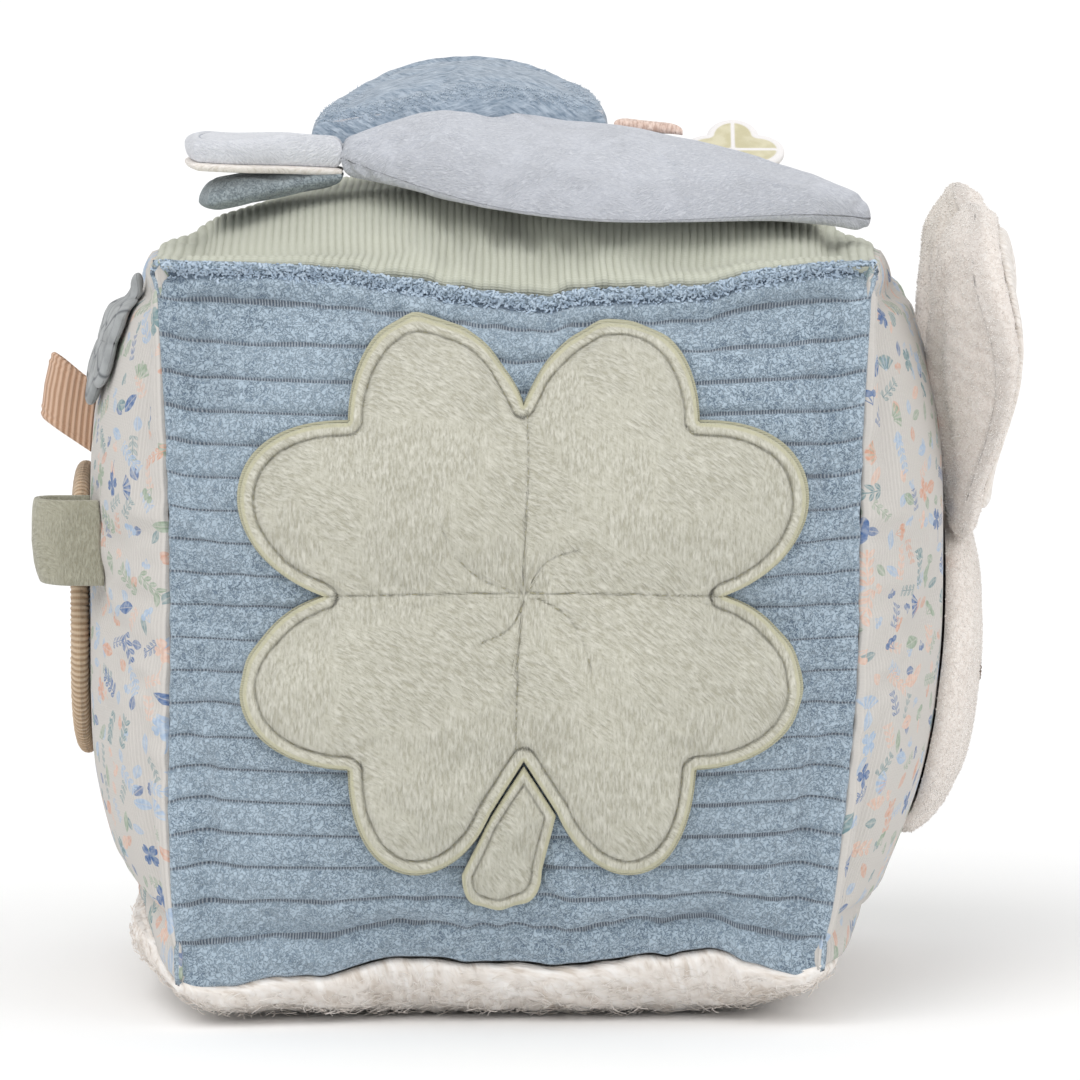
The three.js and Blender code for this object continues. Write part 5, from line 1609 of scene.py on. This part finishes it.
def ears():
    for side, body in ((-1, "near_ear"), (1, "far_ear")):
        place = on_head(side)

        def rim(y):
            return EAR_SHELL / 2 - np.interp(y / EAR_LENGTH, EAR_PLACES, EAR_RIM_IN)

        def back(x, y, edge):
            share = rounded(edge, 6)
            deep = -np.interp(y / EAR_LENGTH, EAR_PLACES, EAR_BACK) * smooth(edge, 0, 10)
            arch = np.sin(np.pi * np.clip(y / EAR_LENGTH, 0, 1))
            fold = 1.7 * arch * bell(x + 8 + 1.5 * np.sin(y * 0.09), 2.6)
            return rim(y) * (1 - share) + (deep + fold) * share

        def fuller(y):
            return np.interp(y / EAR_LENGTH, EAR_PLACES, EAR_FRONT)

        def front(x, y, edge):
            share = rounded(edge, 5)
            return rim(y) * (1 - share) + (EAR_SHELL + fuller(y)) * share

        shell = Pad(ear_outline(), EAR_MIDDLE, front, back, place, 260, 40)

        def fuzz(x, y, edge, at_top):
            return 0.35 * ripple(x * 0.5, y * 0.5, edge * 0.3, seed=31 + side)

        shell.pump(PAD_PRESSURE, 1.0, held_rim(0.5, 3.0))
        # The crease mark paints shade along the ear's rim seam.
        fleece_mesh = shell.mesh(body + "_fleece", fuzz, pile=lambda x, y, e, s: 1.0 - s * smooth(e, 3.0, 4.5),
                                 crease=lambda x, y, e, s: bell(e, 0.45))
        placed(body + "_fleece", fleece_mesh, CREAM_FLEECE, body, [body])
        dressed(body + "_pile", fleece_mesh, PILE, CREAM_TUFTS, body, "sherpa", Seed=21 + side, **FLEECE_TUFTS)

        def lining_top(x, y, edge):
            fold = 0.45 * ripple(x * 0.45, y * 0.05, seed=41 + side)
            above = EAR_SHELL + SEAT_GAP + fuller(y)
            return above + 0.5 + (EAR_LINING - 0.5) * rounded(edge, 9) + fold * smooth(edge, 0, 4)

        lining = Pad(ear_outline(EAR_LINING_SHARE), EAR_MIDDLE, lining_top,
                     lambda x, y, e: EAR_SHELL + SEAT_GAP + fuller(y), place, 260, 34)
        lining.piece(body + "_velour", CREAM_VELOUR, body, "cream_velour", body + "_lining", 0.2)


# The bird on top

BIRD_LEFT = -38.0
BIRD_RIGHT = 77.0
NECK_FRONT = -41.0
NECK_BACK = -29.0
NECK_DEPTH = (NECK_FRONT + NECK_BACK) / 2
TIP_DEPTH = -43.0
TIP_HALF = 5.0
FRONT_BELLY = -73.0
BACK_BELLY = 4.0
BIRD_ABOVE = 11.0
BIRD_BELOW = 4.0
WING_DEPTH = -22.0
WING_LENGTH = 65.0
WING_REACH = 42.0
WING_LEFT = -45.0
WING_DROOP = 3.8
WING_ARCH = 4.6
WING_RIM_DROP = 3.8
WING_LINING_SHARE = 0.965
WINGS_APART = 1.2
CORAL_LENGTH = 15.0
CORAL_REACH = 24.0
CORAL_ARCH = -1.4
CORAL_RIM_DROP = 0.4
TAIL_LENGTH = 31
TAIL_HALF_WIDE = 17
TAIL_ABOVE_SEAT = 2
TAIL_RISE = 2
TAIL_CREAM_BELOW = 2.3
LOW_TAIL_LENGTH = 28
LOW_TAIL_HALF_WIDE = 14
LOW_TAIL_ABOVE_SEAT = -2.9
LOW_TAIL_RISE = -5
TAIL_STITCH_INSET = 3.2
TAIL_ROOT_HALF = 5.0


def bird_seat(x, y):
    """The height of the surface that the bird lies along."""
    crown = TOP_CROWN * (1 - np.abs(y / HALF) ** 4)
    raised = 4.4 * np.clip(x / BIRD_LEFT, 0, 1) ** 2
    dropped = 8.0 * np.clip(x / BIRD_RIGHT, 0, 2) ** 3
    return TOP_SEAM + crown + raised - dropped + APPLIQUE_GAP


def as_given(x, y, height):
    return np.stack([x, y, height], -1)


def bird_outline():
    third = (BIRD_RIGHT - BIRD_LEFT) / 3
    return traced(
        (BIRD_LEFT, NECK_FRONT),
        [(BIRD_LEFT + third, FRONT_BELLY), (BIRD_RIGHT - third, FRONT_BELLY),
         (BIRD_RIGHT - TIP_HALF, TIP_DEPTH - TIP_HALF)],
        [(BIRD_RIGHT + TIP_HALF, TIP_DEPTH), (BIRD_RIGHT - TIP_HALF, TIP_DEPTH + TIP_HALF)],
        [(BIRD_RIGHT - third, BACK_BELLY), (BIRD_LEFT + third, BACK_BELLY), (BIRD_LEFT, NECK_BACK)],
        [(BIRD_LEFT, NECK_FRONT)],
    )


BIRD_PLACES = (-38, -34, -26, -20, -12, 0, 22, 37, 59, 73, 79)
BIRD_BACK = (3.6, 4.8, 9.4, 12.2, 13.2, 12.4, 9.8, 7.6, 5.2, 4.4, 4.4)
BIRD_HALF_WIDTHS = (4, 7, 14, 19, 25, 28, 28, 24, 11, 3.6, 2.6)


def along_bird(x, values):
    """A value given at places along the bird, eased between them."""
    steps = np.linspace(-4, 4, 9)
    return sum(np.interp(x + step_away, BIRD_PLACES, values) for step_away in steps) / len(steps)


def bird_body():
    outline = bird_outline()

    def full(x, y, edge):
        return rounded(edge, along_bird(x, BIRD_HALF_WIDTHS), 2.0)

    def top(x, y, edge):
        return bird_seat(x, y) + BIRD_BELOW + along_bird(x, BIRD_BACK) * full(x, y, edge)

    def bottom(x, y, edge):
        return bird_seat(x, y) + BIRD_BELOW * (1 - full(x, y, edge))

    def gathers(x, y, edge, side):
        neck = np.exp(-(x - BIRD_LEFT) / 8)
        pull = 0.45 * np.sin(y * 2.0) * neck
        seam = -0.45 * bell(edge, 0.9)
        dimple = -1.3 * np.exp(-(((x - 74.5) / 1.6) ** 2) - (((edge - 1.0) / 1.6) ** 2))
        return pull + seam + dimple + 0.4 * ripple(x * 0.16, y * 0.16, seed=51) * smooth(edge, 0, 4)

    pad = Pad(outline, (0, NECK_DEPTH), top, bottom, as_given, 400, 54)
    pad.pump(PAD_PRESSURE, 1.0, held_rim(0.5, 2.5))

    def shaded(x, y, edge, side):
        """Painted shade: in the rim seam, and on the belly's side that faces down."""
        return np.maximum(0.55 * bell(edge, 0.5), 0.5 * smooth(-edge, -13, -4) * smooth(-y, 42, 50))

    pad.piece("bird_velour", PALE_VELOUR, "block", "light_velour", "bird_body", 0.5, gathers, crease=shaded)


WING_RIM_PLACES = (-45, -38, -30, -21, -12, -4, 7.5, 14, 20)
WING_RIM_DROPS = (4.0, 5.6, 5.4, 3.2, 2.5, 2.4, 3.4, 4.6, 5.8)


def wing_height(left, length, reach, rise, drop):
    def height(x, y, lift):
        back = bird_seat(0.0, WING_DEPTH) + BIRD_BELOW + BIRD_ABOVE * 0.98 + SEAT_GAP
        root = back - WING_DROOP * (x / WING_LEFT) ** 2
        arch = 1 - np.abs(2 * (x - left) / length - 1) ** 2
        away = np.sin(np.clip((y - WING_DEPTH) / reach, 0, 1) * np.pi / 2)
        return np.stack([x, y, root + away * (rise * arch - drop * (1 - arch)) + lift], -1)
    return height


def wing_outline(left, length, reach):
    outline = traced(
        (0, 0),
        [(length, 0)],
        [(length, reach), (length / 2, reach * 1.2), (length / 4, reach)],
        [(0, reach / 2), (0, 0)],
    )
    return outline + np.array((left, WING_DEPTH))


def wings():
    outline = wing_outline(WING_LEFT, WING_LENGTH, WING_REACH)
    middle = (WING_LEFT + WING_LENGTH / 2, WING_DEPTH + WING_REACH / 2)
    laid = wing_height(WING_LEFT, WING_LENGTH, WING_REACH, WING_ARCH, WING_RIM_DROP)

    def front(y, reach):
        return np.exp(-np.maximum(0, y - WING_DEPTH) / reach)

    def place(x, y, lift):
        """Follows the lining, with the front rim rolled forwards and down over it."""
        points = laid(x, y, lift)
        points[..., 1] -= 1.8 * front(y, 5.0)
        points[..., 2] -= np.interp(x, WING_RIM_PLACES, WING_RIM_DROPS) * front(y, 7.0)
        return points

    def top(x, y, edge):
        rim = 4.2 * rounded(edge, 4.6, 2.0) * bell(np.maximum(0, edge - 4.2), 2.6)
        body = 4.8 * rounded(edge, 13, 2.2)
        crease = -0.9 * bell(edge - 8.2, 1.3) * front(y, 16.0)
        return 2.7 + np.maximum(rim, body * 0.85) + crease

    def fuzz(x, y, edge, side):
        return 0.35 * ripple(x * 0.3, y * 0.3, seed=61) * side

    def pile(x, y, edge, side):
        return side * smooth(edge, 0.8, 2.2) * smooth(-edge, -7.5, -5.5) * front(y, 9.0)

    upper = Pad(outline, middle, top, 2.6, place, 300, 40)
    upper.pump(PAD_PRESSURE, 1.0, held_rim(0.5, 2.5))
    plush_mesh = upper.mesh("bird_wing_plush", fuzz, pile=pile)
    placed("bird_wing_plush", plush_mesh, WING_PLUSH, "bird_wing", ["bird_wing"])
    dressed("bird_wing_pile", plush_mesh, PILE, WING_TUFTS, "bird_wing", "blue_plush", Density=4.0, Tall=0.6,
            Wide=0.11, Long=1.1, Lean=0.9, Seed=5)
    set_in = np.array(middle) + (outline - middle) * WING_LINING_SHARE
    lower = Pad(set_in, middle, 2.2, 0.4, laid, 240, 20)
    lower.piece("bird_wing_velour", PALE_VELOUR, "bird_wing", "light_velour", "bird_wing_lining", 0.2)
    left = WING_LEFT + WING_LENGTH + WINGS_APART
    small = wing_outline(left, CORAL_LENGTH, CORAL_REACH)
    coral = Pad(small, (left + CORAL_LENGTH / 2, WING_DEPTH + CORAL_REACH / 2),
                lambda x, y, e: -0.6 + 1.5 * rounded(e, 4), -1.5,
                wing_height(left, CORAL_LENGTH, CORAL_REACH, CORAL_ARCH, CORAL_RIM_DROP), 160, 20)
    coral.piece("bird_coral_velour", CORAL, "coral_wing", "coral_velour", "bird_coral_wing", 0.2)


def tail_outline(length, half_wide):
    return traced(
        (0, TAIL_ROOT_HALF),
        [(-length / 2, TAIL_ROOT_HALF), (-length / 2, half_wide), (-length, half_wide)],
        [(-length - TAIL_ROOT_HALF, 0), (-length, -half_wide)],
        [(-length / 2, -half_wide), (-length / 2, -TAIL_ROOT_HALF), (0, -TAIL_ROOT_HALF)],
        [(0, TAIL_ROOT_HALF)],
    )


def tail_pieces():
    outline = tail_outline(TAIL_LENGTH, TAIL_HALF_WIDE)
    middle = (-TAIL_LENGTH / 2, 0)
    seat = float(bird_seat(BIRD_LEFT, NECK_DEPTH))
    upper_seat = seat + TAIL_ABOVE_SEAT + SEAT_GAP
    lower_seat = seat + LOW_TAIL_ABOVE_SEAT - SEAT_GAP

    def place_at(base, length, rise):
        def place(x, y, height):
            raised = -x / length * rise
            into_neck = 0.8 * smooth(x, -6, 0)
            return np.stack([BIRD_LEFT - SEAT_GAP + x + into_neck, NECK_DEPTH + y, base + raised + height], -1)
        return place

    def full(edge, wide):
        return rounded(edge, wide, 2.2)

    def upper_top(x, y, edge):
        outer = smooth(-x, 10, 26)
        return 2.1 + (3.3 - 1.4 * outer) * full(edge, 2.5) - 0.45 * bell(edge - TAIL_STITCH_INSET, 0.5)

    def sewn(x, y, edge, side):
        return side * bell(edge - TAIL_STITCH_INSET, 0.35)

    place = place_at(upper_seat, TAIL_LENGTH, TAIL_RISE)
    upper = Pad(outline, middle, upper_top, lambda x, y, e: 2.1 - 3.3 * full(e, 2), place, 260, 34)
    # The crease mark paints shade along the tail's line of stitches.
    upper.piece("bird_tail_velour", TAIL_VELOUR, "tail_upper", "light_velour", "bird_tail_top", 0.3, crease=sewn)
    under = Pad(outline, middle, lambda x, y, e: 0.6 + 0.55 * full(e, 2), lambda x, y, e: 0.6 - 1.3 * full(e, 2),
                place_at(upper_seat - TAIL_CREAM_BELOW, TAIL_LENGTH, TAIL_RISE), 220, 20)
    under.piece("bird_tail_cream", CREAM_VELOUR, "tail_upper", "cream_velour", "bird_tail_underside", 0.2)

    def ridges(x, y, edge, side):
        return 0.35 * np.sin(y * 1.1) * smooth(edge, 0, 3)

    def lower_top(x, y, edge):
        return 2.6 + (1.7 + 1.9 * smooth(-x, 6, 22)) * full(edge, 4)

    lower = Pad(tail_outline(LOW_TAIL_LENGTH, LOW_TAIL_HALF_WIDE), (-LOW_TAIL_LENGTH / 2, 0), lower_top,
                lambda x, y, e: 2.6 - 2.0 * full(e, 5), place_at(lower_seat, LOW_TAIL_LENGTH, LOW_TAIL_RISE),
                220, 30)
    lower.piece("bird_tail_plush", DARK_PLUSH, "tail_lower", "dark_plush", "bird_tail_lower", 0.4, ridges)
    x, y = inset(outline, TAIL_STITCH_INSET, 400).T
    row = place(x, y, upper_top(x, y, TAIL_STITCH_INSET + 0 * x))
    stitched("bird_tail_stitches", [row], GREY_THREAD, 2.2, 1.6, 0.4, "tail_upper", "light_velour")


PATCH_PLACE = (48.0, 4.0)
PATCH_RADIUS = 9.8
PATCH_SCALLOP = 1.6
PATCH_LEAN = math.radians(34)


def clover_patch():
    outline = scalloped(PATCH_RADIUS, PATCH_SCALLOP, 4, 240)
    root = on_face("top", *PATCH_PLACE, SEAT_GAP)

    def place(x, y, height):
        y = y + PATCH_RADIUS + PATCH_SCALLOP
        up = y * math.cos(PATCH_LEAN) - height * math.sin(PATCH_LEAN)
        rise = y * math.sin(PATCH_LEAN) + height * math.cos(PATCH_LEAN)
        return np.stack([x + root[0], up + root[1], rise + root[2]], -1)

    def petals(x, y, edge, side=1.0):
        """1 on the printed petals, 0 on the white border and in the gaps between them."""
        angle = np.arctan2(y, x)
        gap = np.hypot(x, y) * np.abs(np.sin(2 * angle)) / 2
        return smooth(edge, 1.5, 1.9) * smooth(gap, 0.25, 0.6) * smooth(np.abs(np.cos(angle)), 0, 0.01)

    def top(x, y, edge):
        return 1.2 + 0.8 * rounded(edge, 1.5) - 0.15 * bell(edge - 1.7, 0.3)

    pad = Pad(outline, (0, 0), top, lambda x, y, e: 0.8 - 0.8 * rounded(e, 1.5), place, 240, 40)
    pad.piece("clover_patch_satin", OLIVE_PATCH, "clover_patch", "olive_patch", "clover_patch", 0.2, petal=petals)


panels()
filling()
clover()
mirror()
loops()
flower()
rabbit_head()
ears()
bird_body()
wings()
tail_pieces()
clover_patch()
